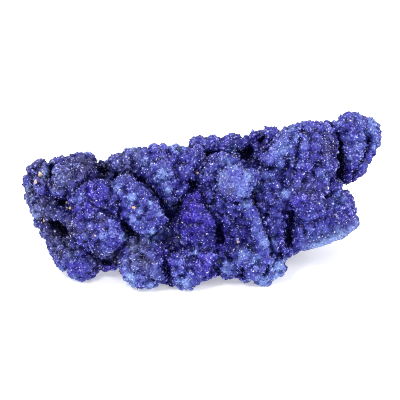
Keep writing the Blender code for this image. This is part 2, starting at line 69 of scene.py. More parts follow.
# The knobs that can be told apart on the display side: across, rise and radius in millimetres.
display_knobs = {
    "left head": [
        (-32.0, 7.6, 1.5), (-34.3, 6.1, 0.9), (-34.9, 4.2, 1.0), (-34.3, 2.4, 1.1), (-27.8, 8.1, 1.1),
        (-25.8, 8.0, 1.1), (-23.8, 8.0, 1.6), (-22.6, 8.9, 1.0), (-24.5, 6.8, 1.1), (-28.0, 5.9, 1.7),
        (-27.6, 3.8, 1.7), (-28.8, 1.8, 1.1), (-27.4, 1.6, 1.0), (-25.3, 2.8, 1.3), (-23.8, 4.2, 1.2),
        (-23.4, 5.8, 1.4), (-31.4, 2.0, 1.1), (-32.8, 4.0, 1.0), (-30.6, 5.8, 1.0), (-21.8, 7.4, 1.0),
        (-30.0, 3.6, 1.0),
    ],
    "left wall": [
        (-33.4, 0.4, 1.0), (-32.2, -1.4, 1.1), (-29.9, -1.9, 1.1), (-27.8, -2.5, 1.1), (-26.2, -3.8, 1.0),
        (-32.6, -3.3, 1.1), (-31.2, 0.0, 0.9), (-32.0, -5.2, 0.9), (-31.0, -7.1, 1.0), (-30.4, -8.6, 1.0),
        (-28.6, -8.0, 1.1), (-29.7, -10.4, 1.0), (-28.0, -9.4, 1.1), (-26.0, -7.6, 1.0),
        (-25.3, -8.8, 1.0), (-25.8, -5.8, 0.9),
    ],
    "first foot": [
        (-26.4, -10.8, 1.0), (-24.3, -10.6, 0.9), (-27.0, -12.5, 1.2), (-25.3, -12.7, 1.2),
        (-23.4, -12.5, 1.2), (-21.8, -11.7, 1.0), (-27.6, -13.6, 1.0), (-25.7, -14.2, 1.2),
        (-23.8, -14.4, 1.2), (-22.0, -13.4, 1.0), (-21.0, -12.4, 0.9), (-28.4, -11.8, 0.9),
    ],
    "left shoulder": [
        (-23.8, 1.7, 1.0), (-23.8, 0.1, 1.0), (-21.5, 3.0, 1.1), (-21.1, 1.1, 1.3), (-19.4, 3.1, 1.0),
        (-22.2, -1.2, 1.1), (-20.3, -1.0, 1.1), (-19.6, 0.5, 1.0), (-18.6, 1.8, 1.0), (-22.8, 2.8, 0.9),
        (-25.0, 0.0, 0.9), (-24.0, -1.4, 0.9),
    ],
    "left belly": [
        (-23.8, -3.3, 1.1), (-21.8, -2.9, 1.1), (-19.5, -3.4, 1.1), (-18.0, -2.2, 1.0), (-23.6, -5.2, 1.1),
        (-21.6, -5.2, 1.1), (-19.7, -5.2, 1.1), (-17.7, -4.4, 1.1), (-22.8, -7.1, 1.1), (-21.5, -8.6, 1.1),
        (-19.2, -7.1, 1.1), (-17.2, -6.4, 1.1), (-16.1, -7.2, 0.9), (-19.0, -9.4, 1.2), (-17.4, -8.6, 1.1),
        (-24.8, -4.4, 0.9), (-24.2, -7.2, 0.9), (-20.6, -7.2, 1.0), (-20.2, -9.8, 0.9),
    ],
    "recess between the first feet": [
        (-18.2, -13.6, 0.8), (-19.8, -12.8, 0.8), (-19.2, -11.4, 0.7), (-17.2, -11.6, 0.7),
    ],
    "leaning block": [
        (-15.8, 4.0, 1.2), (-13.9, 4.2, 1.0), (-16.2, 2.4, 1.1), (-13.4, 2.6, 1.1), (-13.3, 0.7, 1.2),
        (-11.6, 1.6, 1.0), (-11.1, -0.3, 1.1), (-14.8, -0.8, 1.0), (-15.2, 0.8, 1.0), (-13.5, -1.5, 1.0),
        (-13.1, -3.6, 1.0), (-11.9, -2.3, 1.1), (-9.8, -0.7, 0.6), (-9.0, -1.7, 0.9), (-8.1, -2.9, 0.9),
        (-9.8, -2.9, 1.1), (-11.7, -4.8, 1.2), (-9.8, -5.0, 1.1), (-8.4, -4.4, 0.9), (-11.1, -6.4, 1.0),
        (-9.4, -6.2, 0.9), (-12.6, -5.6, 0.9), (-10.4, 0.6, 0.8), (-17.3, -0.6, 0.9), (-16.8, -2.4, 0.9),
        (-14.8, -2.8, 0.9),
    ],
    "crest": [
        (-16.8, 8.3, 1.1), (-16.8, 6.7, 1.1), (-13.9, 9.6, 1.2), (-14.9, 8.0, 1.2), (-12.5, 8.6, 1.2),
        (-12.5, 6.8, 1.1), (-11.3, 9.6, 1.0), (-10.7, 7.9, 1.2), (-9.0, 10.0, 1.1), (-9.0, 8.4, 1.2),
        (-9.4, 6.4, 1.2), (-7.2, 10.4, 1.0), (-7.2, 8.7, 1.1), (-4.9, 9.6, 1.4), (-5.3, 7.9, 1.2),
        (-3.1, 10.0, 1.1), (-3.3, 8.3, 1.2), (-1.1, 9.3, 1.2), (-0.9, 7.5, 1.2), (-0.0, 5.8, 1.0),
        (-2.3, 6.2, 1.2), (-4.1, 6.2, 1.1), (-14.4, 6.2, 1.0), (-10.8, 5.8, 0.9),
    ],
    "wedge under the crest": [
        (-7.4, 5.2, 1.3), (-9.0, 4.0, 1.1), (-5.6, 5.1, 1.0), (-6.2, 2.0, 0.8), (-4.9, 3.4, 1.2),
        (-3.2, 4.5, 1.1), (-7.6, 2.6, 1.0), (-3.9, 1.4, 1.1), (-6.2, 0.1, 1.0), (-4.8, -0.3, 1.0),
        (-6.1, -1.6, 0.8), (-5.2, -1.8, 0.8), (-10.4, 4.8, 0.9), (-6.0, 6.8, 0.9), (-2.8, 2.6, 0.9),
    ],
    "middle column": [
        (-2.5, 0.6, 1.0), (-0.4, 0.9, 1.2), (-3.0, -1.0, 1.0), (-1.3, -1.1, 1.4), (0.5, -1.5, 1.2),
        (-2.9, -3.1, 1.2), (-0.9, -3.3, 1.2), (1.2, -3.5, 1.2), (2.4, -4.6, 1.0), (-3.1, -6.2, 1.2),
        (-1.1, -5.8, 1.1), (0.8, -6.0, 1.2), (-4.8, -5.6, 0.9), (-4.9, -8.0, 0.9), (-3.3, -8.4, 1.1),
        (-1.3, -8.0, 1.1), (0.8, -7.8, 1.0), (-6.4, -6.4, 0.9), (2.2, -7.2, 0.9),
    ],
    "second foot": [
        (-13.1, -9.2, 1.0), (-11.3, -8.4, 1.0), (-9.2, -8.9, 1.0), (-14.5, -10.2, 1.1),
        (-14.9, -12.2, 1.2), (-13.1, -11.1, 0.9), (-9.4, -10.9, 1.1), (-7.8, -10.2, 1.0),
        (-14.7, -14.2, 1.2), (-12.9, -13.2, 1.1), (-11.8, -12.5, 0.7), (-10.7, -13.1, 1.2),
        (-8.8, -12.8, 1.1), (-7.8, -12.0, 0.9), (-13.5, -15.4, 1.2), (-11.3, -15.2, 1.2),
        (-9.2, -14.7, 1.2), (-8.0, -15.2, 1.0), (-11.9, -16.6, 1.0), (-9.8, -16.6, 1.0),
    ],
    "third foot": [
        (-4.1, -11.9, 1.2), (-5.5, -12.4, 0.9), (-5.1, -14.4, 1.0), (-3.6, -13.8, 1.1), (-0.9, -10.5, 0.8),
        (-2.5, -10.6, 0.9), (2.0, -10.9, 1.1), (0.4, -11.2, 1.0), (-0.2, -13.1, 1.2), (1.6, -12.7, 1.2),
        (-1.9, -12.5, 1.0), (-2.0, -14.7, 1.1), (-0.1, -14.9, 1.1), (1.4, -14.2, 1.1), (-4.4, -16.0, 1.1),
        (-2.9, -16.1, 1.2), (-1.4, -16.2, 1.1), (-2.8, -17.2, 0.8),
    ],
    "small ball": [
        (5.1, -12.5, 0.9), (6.4, -13.1, 0.9), (5.7, -14.3, 1.0), (4.7, -13.8, 0.8), (7.2, -14.4, 0.8),
    ],
    "far crest": [
        (0.7, 11.7, 1.1), (1.5, 10.2, 1.0), (2.7, 11.6, 1.2), (4.1, 10.6, 1.1), (5.6, 11.4, 1.1),
        (6.8, 12.4, 0.8), (7.3, 11.0, 1.2), (5.3, 10.0, 1.0), (9.0, 11.7, 1.0), (10.7, 12.5, 1.0),
        (11.2, 10.3, 1.1), (8.6, 10.2, 0.8), (-0.4, 10.8, 0.9),
    ],
    "nodule collar": [
        (2.2, 8.2, 1.1), (4.6, 8.3, 1.3), (6.8, 7.9, 1.2), (2.6, 6.4, 1.2), (1.3, 6.2, 1.0),
        (1.1, 4.5, 1.1), (2.4, 4.5, 1.0), (8.5, 7.2, 1.2), (10.2, 5.2, 1.1), (10.7, 3.6, 1.0),
        (2.9, 2.5, 1.1), (1.9, 1.1, 1.0), (3.6, -0.8, 1.1), (2.5, -1.6, 1.0), (4.6, 0.0, 1.0),
        (3.6, 1.0, 0.9),
    ],
    "nodule stem": [
        (9.0, -0.8, 1.1), (6.2, -1.2, 1.0), (9.5, -2.6, 1.1), (10.7, -3.4, 1.0), (10.9, -5.5, 1.2),
        (11.7, -7.2, 1.1), (12.7, -7.4, 0.8), (12.6, -8.8, 1.0), (11.4, -9.1, 1.0), (13.0, -10.6, 0.9),
        (11.6, -10.8, 1.0), (7.8, -1.4, 0.9),
    ],
    "hollow by the stem": [
        (7.0, -3.0, 1.1), (8.2, -4.2, 1.1), (6.8, -6.2, 1.1), (8.6, -6.4, 1.2), (5.4, -3.8, 1.0),
        (7.3, -8.0, 1.0), (5.8, -8.0, 1.0), (3.9, -9.2, 0.9), (4.2, -10.8, 0.9), (9.8, -8.0, 1.0),
        (9.2, -4.6, 0.9),
    ],
    "fourth foot": [
        (8.7, -10.5, 1.4), (7.8, -12.5, 1.1), (9.7, -12.2, 1.2), (10.7, -11.3, 1.0), (10.9, -13.5, 1.2),
        (13.1, -12.2, 1.0), (12.4, -13.9, 1.2), (14.3, -13.7, 1.3), (15.5, -13.0, 1.2), (16.2, -12.0, 0.9),
        (13.1, -15.4, 1.2), (14.7, -14.9, 1.1), (11.2, -15.2, 1.2), (9.7, -14.7, 1.1), (12.4, -16.0, 1.0),
        (14.4, -11.8, 0.9),
    ],
    "right waist": [
        (12.8, 5.0, 1.2), (14.5, 5.0, 1.2), (15.0, 3.0, 1.2), (17.0, 1.1, 1.3), (18.2, 2.2, 1.0),
        (13.1, 2.5, 1.3), (13.6, 0.6, 1.4), (15.5, -0.8, 1.3), (12.6, -1.6, 1.2), (14.3, -2.5, 1.3),
        (16.0, -3.0, 1.2), (13.6, -4.2, 1.2), (15.5, -4.5, 1.2), (14.5, -6.2, 1.3), (16.0, -6.2, 1.0),
        (14.3, -8.4, 1.3), (15.8, -8.1, 1.1), (15.5, -9.9, 1.1), (16.8, -10.2, 0.9), (11.6, 0.8, 1.0),
        (11.4, 2.8, 0.9), (16.6, -1.2, 0.9), (12.4, -6.2, 0.9),
    ],
    "oblong knob": [
        (13.6, 7.6, 1.3), (15.0, 8.7, 1.3), (16.5, 9.7, 1.2), (16.0, 7.3, 1.1), (14.3, 10.3, 1.1),
        (15.5, 11.3, 1.2), (17.0, 11.8, 1.2), (17.6, 10.2, 1.1), (15.0, 13.1, 1.1), (13.6, 12.9, 1.0),
        (13.2, 11.8, 0.9), (17.6, 8.5, 0.9),
    ],
    "right crest": [
        (17.0, 13.3, 1.2), (18.4, 13.6, 1.3), (19.4, 12.6, 1.2), (20.8, 14.5, 1.3), (22.5, 14.9, 1.2),
        (21.6, 13.6, 1.2), (23.8, 14.3, 1.2), (20.9, 12.4, 1.3), (23.1, 12.6, 1.3), (25.0, 13.9, 1.2),
        (25.5, 12.4, 1.3), (24.2, 14.6, 0.9), (18.6, 11.6, 1.0),
    ],
    "right wall": [
        (20.7, 10.7, 1.3), (22.8, 10.7, 1.3), (24.9, 10.4, 1.3), (18.3, 9.8, 0.9), (20.7, 8.8, 1.3),
        (22.7, 8.6, 1.3), (24.8, 8.4, 1.3), (19.8, 7.0, 1.2), (21.5, 6.5, 1.2), (18.2, 6.9, 1.0),
        (23.8, 5.7, 1.2), (21.8, 4.4, 1.2), (25.5, 6.4, 1.2), (19.9, 5.0, 1.3), (19.2, 3.0, 1.3),
        (21.3, 2.5, 1.3), (23.3, 2.6, 1.2), (25.1, 4.0, 1.3), (25.2, 1.9, 1.3), (26.6, 2.7, 0.9),
        (17.2, 5.4, 1.0), (17.2, 3.6, 1.0),
    ],
    "right boss": [
        (18.9, -0.1, 1.4), (20.6, 0.6, 1.3), (22.3, 0.6, 1.3), (24.0, 0.8, 1.2), (20.1, -1.8, 1.3),
        (21.8, -1.6, 1.3), (23.5, -0.9, 1.3), (25.2, -0.6, 1.3), (20.8, -3.3, 1.1), (22.5, -3.2, 1.2),
        (24.3, -2.8, 1.3),
    ],
    "right slab": [
        (27.2, 1.3, 1.1), (28.6, 0.2, 1.0), (29.4, -1.4, 0.9), (30.0, -2.8, 0.8), (30.6, -4.2, 0.8),
        (26.0, 0.2, 1.1), (26.8, -1.4, 0.9), (19.8, -6.4, 1.1), (18.7, -8.2, 0.9), (20.3, -4.6, 0.9),
        (19.4, -9.0, 0.8), (21.6, -3.6, 0.9), (24.6, -2.6, 0.8),
    ],
    "right head": [
        (27.3, 15.0, 1.0), (28.6, 16.3, 1.1), (30.1, 16.6, 1.2), (31.9, 16.6, 1.2), (33.5, 15.9, 1.1),
        (28.3, 14.3, 1.2), (30.1, 14.6, 1.4), (32.2, 14.8, 1.4), (34.1, 14.5, 1.1), (35.1, 13.7, 1.0),
        (35.5, 12.6, 0.9), (34.5, 12.3, 1.0), (28.7, 12.4, 1.2), (30.3, 12.6, 1.4), (32.2, 12.6, 1.3),
        (29.3, 10.4, 1.3), (31.0, 10.6, 1.4), (32.6, 10.9, 1.0), (29.8, 8.7, 1.3), (31.7, 8.9, 1.3),
        (34.7, 10.6, 1.1), (33.9, 9.1, 1.1), (34.0, 7.9, 0.9), (29.9, 6.8, 1.3), (31.6, 7.1, 1.1),
        (33.0, 6.7, 1.0), (30.1, 5.1, 1.1), (31.3, 5.0, 1.0), (32.3, 5.6, 0.9), (29.7, 3.8, 1.0),
    ],
}

# Faces of the display side that are flat and finely grained, with no knobs of their own.
flat_faces = [
    (23.6, -5.6, 3.4), (26.4, -5.0, 3.4), (29.0, -4.4, 2.6), (21.2, -7.8, 2.2), (6.9, 3.3, 3.4),
    (20.6, -9.4, 1.4), (22.6, -9.2, 1.4), (24.6, -8.6, 1.4), (26.6, -7.9, 1.4), (28.6, -7.0, 1.4),
    (30.4, -5.9, 1.4),
]

behind_display = -6  # millimetres out from the display side, below which a place belongs to the far side

# The slab's lower edge, a smooth powdery roll: across, rise and out.
slab_edge = [
    (19.3, -8.6, 1.5), (20.7, -9.1, 1.7), (22.3, -8.8, 1.6), (24.0, -8.4, 1.5), (25.6, -7.8, 1.4),
    (27.2, -7.1, 1.3), (28.7, -6.4, 1.1), (30.0, -5.5, 0.8), (31.0, -4.7, 0.6),
]
slab_edge_radius = 0.95

# Rounded masses that fill out the lobes: across, rise, out and radius in millimetres.
fillings = [
    (10.7, 2.2, 3.8, 1.7), (6.2, -4.4, 5.8, 1.2), (28.9, 12.8, -0.3, 1.3), (-13.4, -8.4, 5.6, 1.3),
    (20.6, -4.9, 3.4, 1.5), (22.0, -4.9, 3.2, 1.5), (23.4, -4.7, 3.0, 1.5), (24.6, -4.0, 2.6, 1.4),
    (25.2, -2.2, 2.6, 1.4), (25.3, -0.6, 2.8, 1.4), (21.4, -6.0, 2.4, 1.4), (23.0, -5.9, 2.2, 1.4),
    (24.6, -5.4, 2.0, 1.4), (9.2, -0.8, 8.6, 1.1), (9.8, -2.3, 8.5, 1.1), (10.9, -3.8, 8.4, 1.1),
    (11.3, -5.3, 8.2, 1.1), (11.9, -6.9, 8.1, 1.1), (12.6, -8.5, 7.7, 1.1), (12.6, -10.0, 7.5, 1.1),
]

# The crevices and pits that part the lobes on the display side: points of across, rise and half width.
crevices = {
    "left head": [
        [(-33.5, 3.9, 0.30), (-33.4, 2.6, 0.35), (-32.9, 1.3, 0.30)],
        [(-33.4, 6.2, 0.25), (-32.4, 6.0, 0.30), (-31.7, 6.9, 0.30), (-30.8, 7.9, 0.30)],
        [(-30.5, 4.4, 0.30), (-30.3, 2.6, 0.35), (-29.9, 1.2, 0.35), (-29.2, 0.3, 0.35),
         (-28.2, 0.2, 0.35), (-27.2, -0.6, 0.75), (-26.6, -1.2, 0.60), (-25.6, -2.6, 0.40)],
        [(-24.6, 1.7, 0.25), (-23.8, 2.9, 0.35), (-22.7, 3.3, 0.35), (-22.2, 4.1, 0.30),
         (-21.2, 4.2, 0.30), (-20.2, 4.6, 0.50)],
        [(-19.4, 5.2, 1.10), (-19.6, 6.6, 1.00), (-20.3, 7.5, 0.70), (-21.0, 7.9, 0.35)],
    ],
    "left wall": [
        [(-29.4, -5.6, 0.40), (-28.6, -4.8, 0.60), (-27.6, -5.2, 0.70), (-26.9, -6.4, 0.60),
         (-27.0, -7.8, 0.45), (-26.9, -9.2, 0.30)],
        [(-26.9, -6.4, 0.50), (-25.8, -6.7, 0.60), (-25.0, -6.0, 0.30)],
    ],
    "left shoulder and belly": [
        [(-21.4, -1.0, 0.20), (-19.4, -1.8, 0.25), (-18.0, -2.6, 0.50), (-16.9, -3.1, 0.30)],
        [(-18.2, 3.9, 0.30), (-17.9, 2.9, 0.35), (-17.4, 1.6, 0.20)],
        [(-16.3, -0.3, 0.25), (-15.7, -1.6, 0.30), (-16.0, -3.4, 0.30), (-15.2, -4.6, 0.50),
         (-14.2, -5.2, 0.50), (-13.5, -6.2, 0.40)],
    ],
    "above the leaning block": [
        [(-17.3, 4.3, 0.25), (-16.0, 5.3, 0.30), (-14.4, 5.7, 0.30), (-13.2, 5.0, 0.38),
         (-11.9, 3.7, 0.44), (-11.1, 3.0, 0.34), (-9.8, 2.0, 0.30), (-8.7, 0.7, 0.42),
         (-7.9, -0.4, 0.35), (-7.4, -1.8, 0.30), (-6.6, -3.0, 0.30), (-5.6, -3.8, 0.65),
         (-6.1, -5.0, 0.30)],
    ],
    "both sides of the middle column": [
        [(-0.1, 6.0, 0.30), (-0.6, 4.8, 0.30), (-0.8, 3.6, 0.60), (-1.0, 2.4, 0.75), (-2.4, 1.5, 0.40),
         (-3.4, 0.5, 0.30), (-3.9, -0.8, 0.30), (-4.3, -2.2, 0.30), (-5.0, -3.2, 0.35)],
        [(0.2, 1.5, 0.30), (0.9, 0.2, 0.30), (1.4, -1.2, 0.30), (2.2, -2.4, 0.30), (3.2, -3.6, 0.30),
         (4.1, -4.8, 0.50), (3.9, -6.2, 0.50), (3.3, -7.4, 0.30)],
    ],
    "round the nodule": [
        [(1.2, 9.4, 0.50), (1.7, 8.8, 0.50), (1.4, 7.8, 0.20), (1.1, 7.0, 0.20), (0.3, 6.1, 0.25)],
        [(3.1, 5.8, 0.20), (2.9, 4.2, 0.22), (3.3, 2.4, 0.22), (4.0, 1.2, 0.30), (5.0, 0.0, 0.30),
         (6.2, -0.4, 0.22), (7.4, -0.6, 0.16)],
        [(8.4, 9.6, 0.50), (9.4, 8.8, 0.90), (9.8, 7.6, 0.60), (10.8, 7.6, 0.40), (12.0, 7.2, 0.40),
         (13.4, 6.7, 0.30), (14.4, 6.2, 0.35)],
        [(11.0, 1.4, 0.20), (10.4, 0.1, 0.25), (10.9, -1.2, 0.25),
         (11.8, -2.4, 0.25), (12.3, -4.0, 0.30), (12.7, -5.6, 0.30), (13.3, -7.0, 0.25),
         (14.0, -8.4, 0.25), (14.1, -10.0, 0.25), (14.0, -11.4, 0.20)],
    ],
    "oblong knob": [
        [(12.7, 12.7, 0.30), (12.3, 11.4, 0.40), (12.6, 10.6, 0.30)],
        [(12.6, 9.4, 0.20), (13.6, 10.3, 0.20), (14.6, 11.4, 0.20)],
        [(19.8, 12.2, 0.12), (19.5, 10.6, 0.13), (19.2, 8.8, 0.15), (18.9, 7.2, 0.14),
         (18.6, 5.4, 0.14), (18.2, 3.6, 0.18)],
        [(17.6, 8.6, 0.14), (17.5, 7.2, 0.18), (17.2, 6.3, 0.14)],
        [(20.2, 14.4, 0.20), (20.7, 13.4, 0.40), (21.4, 12.8, 0.25)],
        [(22.4, 5.5, 0.25), (22.3, 4.8, 0.35)],
    ],
    "right waist": [
        [(17.1, -0.8, 0.35), (16.9, -1.6, 0.40), (16.5, -2.6, 0.35)],
        [(18.4, -3.0, 0.30), (18.0, -4.4, 0.40), (17.4, -6.0, 0.45), (17.2, -7.6, 0.60),
         (17.4, -9.0, 0.40)],
        [(19.2, -4.4, 0.30), (20.3, -5.3, 0.30), (20.9, -6.6, 0.25)],
    ],
    "right head": [
        [(27.5, 13.4, 0.12), (27.7, 12.2, 0.18), (27.8, 11.0, 0.22), (28.1, 9.4, 0.35), (28.0, 7.6, 0.55),
         (27.9, 6.0, 0.80), (27.8, 4.5, 0.90)],
        [(33.2, 13.4, 0.12), (33.4, 12.2, 0.16), (33.7, 10.8, 0.20), (33.1, 9.4, 0.22), (32.5, 8.2, 0.20),
         (31.7, 6.9, 0.22), (30.9, 5.6, 0.22), (30.5, 4.4, 0.20)],
    ],
    "between the feet": [
        [(-23.8, -9.2, 0.30), (-22.6, -10.2, 0.30), (-21.2, -10.6, 0.35), (-20.4, -11.6, 0.30)],
        [(-19.2, -12.2, 0.45), (-18.0, -12.6, 0.30)],
        [(-15.8, -9.4, 0.30), (-16.9, -10.6, 0.40), (-16.6, -12.8, 0.30)],
        [(-15.0, -9.0, 0.20), (-14.2, -8.0, 0.25)],
        [(-11.4, -10.8, 0.35), (-11.1, -11.5, 0.30)],
        [(-5.6, -10.3, 0.30), (-6.8, -11.6, 0.30), (-6.9, -13.2, 0.45), (-6.6, -14.6, 0.50),
         (-6.0, -15.8, 0.60), (-6.0, -17.0, 0.60)],
        [(2.6, -13.2, 0.30), (3.4, -13.6, 0.40), (3.6, -14.8, 0.30)],
        [(5.2, -10.6, 0.35), (5.8, -11.6, 0.30)],
        [(8.2, -13.4, 0.30), (8.5, -14.4, 0.35), (8.6, -15.4, 0.30)],
        [(13.6, -12.8, 0.20), (13.1, -13.8, 0.30), (12.6, -15.0, 0.25)],
        [(16.0, -9.6, 0.25), (15.8, -10.8, 0.30), (16.2, -11.6, 0.20)],
    ],
}

# Crevices of the far side, which wander between its lobes: points of across, height and half width.
far_crevices = [
    [(27.0, 29.0, 0.40), (24.0, 24.0, 0.50), (26.0, 19.0, 0.40), (23.0, 14.0, 0.45), (25.0, 9.0, 0.35)],
    [(24.0, 24.0, 0.50), (17.0, 23.0, 0.35), (11.0, 26.0, 0.45), (8.0, 30.0, 0.35)],
    [(23.0, 14.0, 0.45), (16.0, 13.0, 0.35), (11.0, 16.0, 0.50), (4.0, 15.0, 0.40)],
    [(17.0, 23.0, 0.30), (14.0, 19.0, 0.25), (16.0, 13.0, 0.30)],
    [(4.0, 15.0, 0.45), (2.0, 20.0, 0.35), (-3.0, 23.0, 0.45), (-6.0, 27.0, 0.35)],
    [(11.0, 16.0, 0.35), (8.0, 9.0, 0.40), (10.0, 4.0, 0.50)],
    [(4.0, 15.0, 0.35), (-2.0, 12.0, 0.45), (-4.0, 6.0, 0.40)],
    [(-2.0, 12.0, 0.40), (-9.0, 14.0, 0.35), (-13.0, 18.0, 0.50), (-12.0, 24.0, 0.35)],
    [(-9.0, 14.0, 0.35), (-14.0, 9.0, 0.40), (-13.0, 4.0, 0.50)],
    [(-13.0, 18.0, 0.45), (-20.0, 17.0, 0.35), (-25.0, 20.0, 0.45)],
    [(-20.0, 17.0, 0.40), (-23.0, 11.0, 0.50), (-21.0, 5.0, 0.40)],
    [(-23.0, 11.0, 0.35), (-30.0, 12.0, 0.40)],
]

lobes = bmesh.new()
lobes.from_mesh(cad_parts["azurite_cluster"].data)
bmesh.ops.remove_doubles(lobes, verts=lobes.verts, dist=1e-6)
lobe_tree = BVHTree.FromBMesh(lobes)
lobe_mesh = bpy.data.meshes.new("lobes")
lobes.to_mesh(lobe_mesh)


def on_display_side(tree, across, rise):
    """Where the display side is met at this place, and the surface's direction there, or None."""
    eye = display_origin + (across_axis * across + rise_axis * rise + toward_axis * 60) * MM
    met, facing, _, _ = tree.ray_cast(eye, -toward_axis)
    return None if met is None else (met, facing)


def scattered(mesh, count, chance):
    """Count places over a mesh's surface, as arrays of points and facings."""
    mesh.calc_loop_triangles()
    corners = np.empty(len(mesh.loop_triangles) * 3, np.int32)
    mesh.loop_triangles.foreach_get("vertices", corners)
    points = np.empty(len(mesh.vertices) * 3)
    mesh.vertices.foreach_get("co", points)
    facings = np.empty(len(mesh.vertices) * 3, np.float32)
    mesh.vertex_normals.foreach_get("vector", facings)
    corners, points, facings = corners.reshape(-1, 3), points.reshape(-1, 3), facings.reshape(-1, 3)
    a, b, c = (points[corners[:, i]] for i in range(3))
    area = np.linalg.norm(np.cross(b - a, c - a), axis=1)
    chosen = chance.choice(len(corners), count, p=area / area.sum())
    u, v = chance.random(count), chance.random(count)
    fold = u + v > 1
    u[fold], v[fold] = 1 - u[fold], 1 - v[fold]
    weights = np.stack([1 - u - v, u, v], 1)[:, :, None]
    spots = (points[corners[chosen]] * weights).sum(1)
    turned = (facings[corners[chosen]] * weights).sum(1)
    turned /= np.linalg.norm(turned, axis=1)[:, None]
    nearest = corners[chosen, weights[:, :, 0].argmax(1)]
    return spots, turned, nearest


def joined(name, solids, faces):
    """One mesh of many closed solids that share their faces' layout: solids holds every solid's corners."""
    mesh = bpy.data.meshes.new(name)
    count, each = solids.shape[:2]
    index = faces[None] + (np.arange(count) * each)[:, None, None]
    mesh.vertices.add(count * each)
    mesh.vertices.foreach_set("co", solids.astype(np.float32).ravel())
    mesh.loops.add(index.size)
    mesh.loops.foreach_set("vertex_index", index.astype(np.int32).ravel())
    mesh.polygons.add(index.size // 3)
    mesh.polygons.foreach_set("loop_start", np.arange(0, index.size, 3, dtype=np.int32))
    mesh.update(calc_edges=True)
    return mesh


def corners_and_faces(shape):
    """A primitive's corners and faces as arrays; the primitive is used up."""
    corners = np.array([corner.co for corner in shape.verts])
    faces = np.array([[corner.index for corner in face.verts] for face in shape.faces])
    shape.free()
    return corners, faces


ball = bmesh.new()
bmesh.ops.create_icosphere(ball, subdivisions=2, radius=1)
ball_corners, ball_faces = corners_and_faces(ball)


def knob(place, facing, radius, proud, chance):
    """The corners of a rounded, uneven knob at this place, with this share of its radius standing proud."""
    centre = np.array(place) - np.array(facing) * radius * (1 - proud)
    turn = np.array(Euler(chance.uniform(0, math.tau, 3)).to_matrix())
    return ball_corners * chance.uniform(0.86, 1.14, 3) @ turn.T * radius + centre


chance = np.random.default_rng(11)
knobs, taken = [], []
for group in display_knobs.values():
    for across, rise, radius in group:
        found = on_display_side(lobe_tree, across, rise)
        if found:
            knobs.append(knob(*found, radius * MM, knob_proud, chance))
            taken.append((*found[0], radius * MM))


def across_and_rise(places):
    """How far these places lie across, up and out from the display side, in millimetres."""
    return (places - np.array(display_origin)) @ np.array([across_axis, rise_axis, toward_axis]).T / MM


def on_flat_face(places):
    """Which of these places lie on one of the display side's flat faces."""
    out = across_and_rise(places)
    flat = np.zeros(len(places), bool)
    for across, rise, radius in flat_faces:
        flat |= np.hypot(out[:, 0] - across, out[:, 1] - rise) < radius
    return flat & (out[:, 2] > behind_display)


# Knobs of chance sizes grow wherever there is still room, but not across a crevice.
spots, facings, _ = scattered(lobe_mesh, chance_knobs, chance)
taken = np.array(taken)
flat = on_flat_face(spots)
for i, (spot, facing) in enumerate(zip(spots, facings)):
    if flat[i]:
        continue
    least, usual, greatest = knob_radii
    if i >= early_knobs:
        greatest = late_knob_greatest
    toward = facing @ np.array(toward_axis)
    seen = toward > 0.15
    radius = (chance.uniform(*seen_knob_radii) if seen else chance.triangular(least, usual, greatest)) * MM
    apart = np.linalg.norm(taken[:, :3] - spot, axis=1) - crowding * (taken[:, 3] + radius)
    shut_in = lobe_tree.ray_cast(Vector(spot + facing * 0.1 * MM), Vector(facing), shut_in_reach)[0]
    if shut_in is not None:
        radius = min(radius, shut_in_knob_radius * MM)
        if i % 2:
            continue
    if apart.min() > 0:
        proud = edge_knob_proud if abs(toward) < 0.4 else knob_proud
        knobs.append(knob(spot, facing, radius, proud, chance))
        taken = np.vstack([taken, [*spot, radius]])

# Between the knobs the lobes' own skin lies back, except on flat faces and where it is shut in.
flat = on_flat_face(np.array([corner.co for corner in lobes.verts]))
for corner in lobes.verts:
    shut_in = lobe_tree.ray_cast(corner.co + corner.normal * 0.1 * MM, corner.normal, shut_in_reach)[0]
    if shut_in is None and not flat[corner.index]:
        corner.co -= corner.normal * cleft_depth
lobes.from_mesh(joined("knobs", np.array(knobs), ball_faces))

# The fillings, and the slab's lower edge as a close row of balls.
along_edge = np.linspace(0, len(slab_edge) - 1, 45)
edge_line = [np.interp(along_edge, range(len(slab_edge)), column) for column in zip(*slab_edge)]
for across, rise, toward, radius in fillings + [(*place, slab_edge_radius) for place in zip(*edge_line)]:
    middle = display_origin + (across_axis * across + rise_axis * rise + toward_axis * toward) * MM
    bmesh.ops.create_icosphere(lobes, subdivisions=3, radius=radius * MM, matrix=Matrix.Translation(middle))

# The nodule's smooth face, a worn button ringed by its own small beads.
nodule_radius = 3.15 * MM
nodule = display_origin + (across_axis * 7.0 + rise_axis * 3.2 + toward_axis * 9.7) * MM
flattened = Matrix.Rotation(math.pi / 2 - display_tilt, 4, "X") @ Matrix.Diagonal((1, 1, 0.94, 1))
bmesh.ops.create_icosphere(
    lobes, subdivisions=4, radius=nodule_radius, matrix=Matrix.Translation(nodule) @ flattened
)
for turn in np.radians(np.arange(-40, 230, 15)):
    out = (across_axis * math.cos(turn) + rise_axis * math.sin(turn)) * chance.uniform(2.75, 3.0)
    bead = nodule + (out + toward_axis * chance.uniform(1.1, 1.6)) * MM
    bmesh.ops.create_icosphere(
        lobes, subdivisions=2, radius=chance.uniform(0.35, 0.55) * MM, matrix=Matrix.Translation(bead)
    )


def mesh_of(name, shape):
    """A mesh of this shape, which is used up."""
    mesh = bpy.data.meshes.new(name)
    shape.to_mesh(mesh)
    shape.free()
    return mesh


def placed(name, data):
    """A new object of this mesh, lamp or camera, put in the scene."""
    thing = bpy.data.objects.new(name, data)
    bpy.context.scene.collection.objects.link(thing)
    return thing


body = placed("azurite_body", mesh_of("azurite_body", lobes))


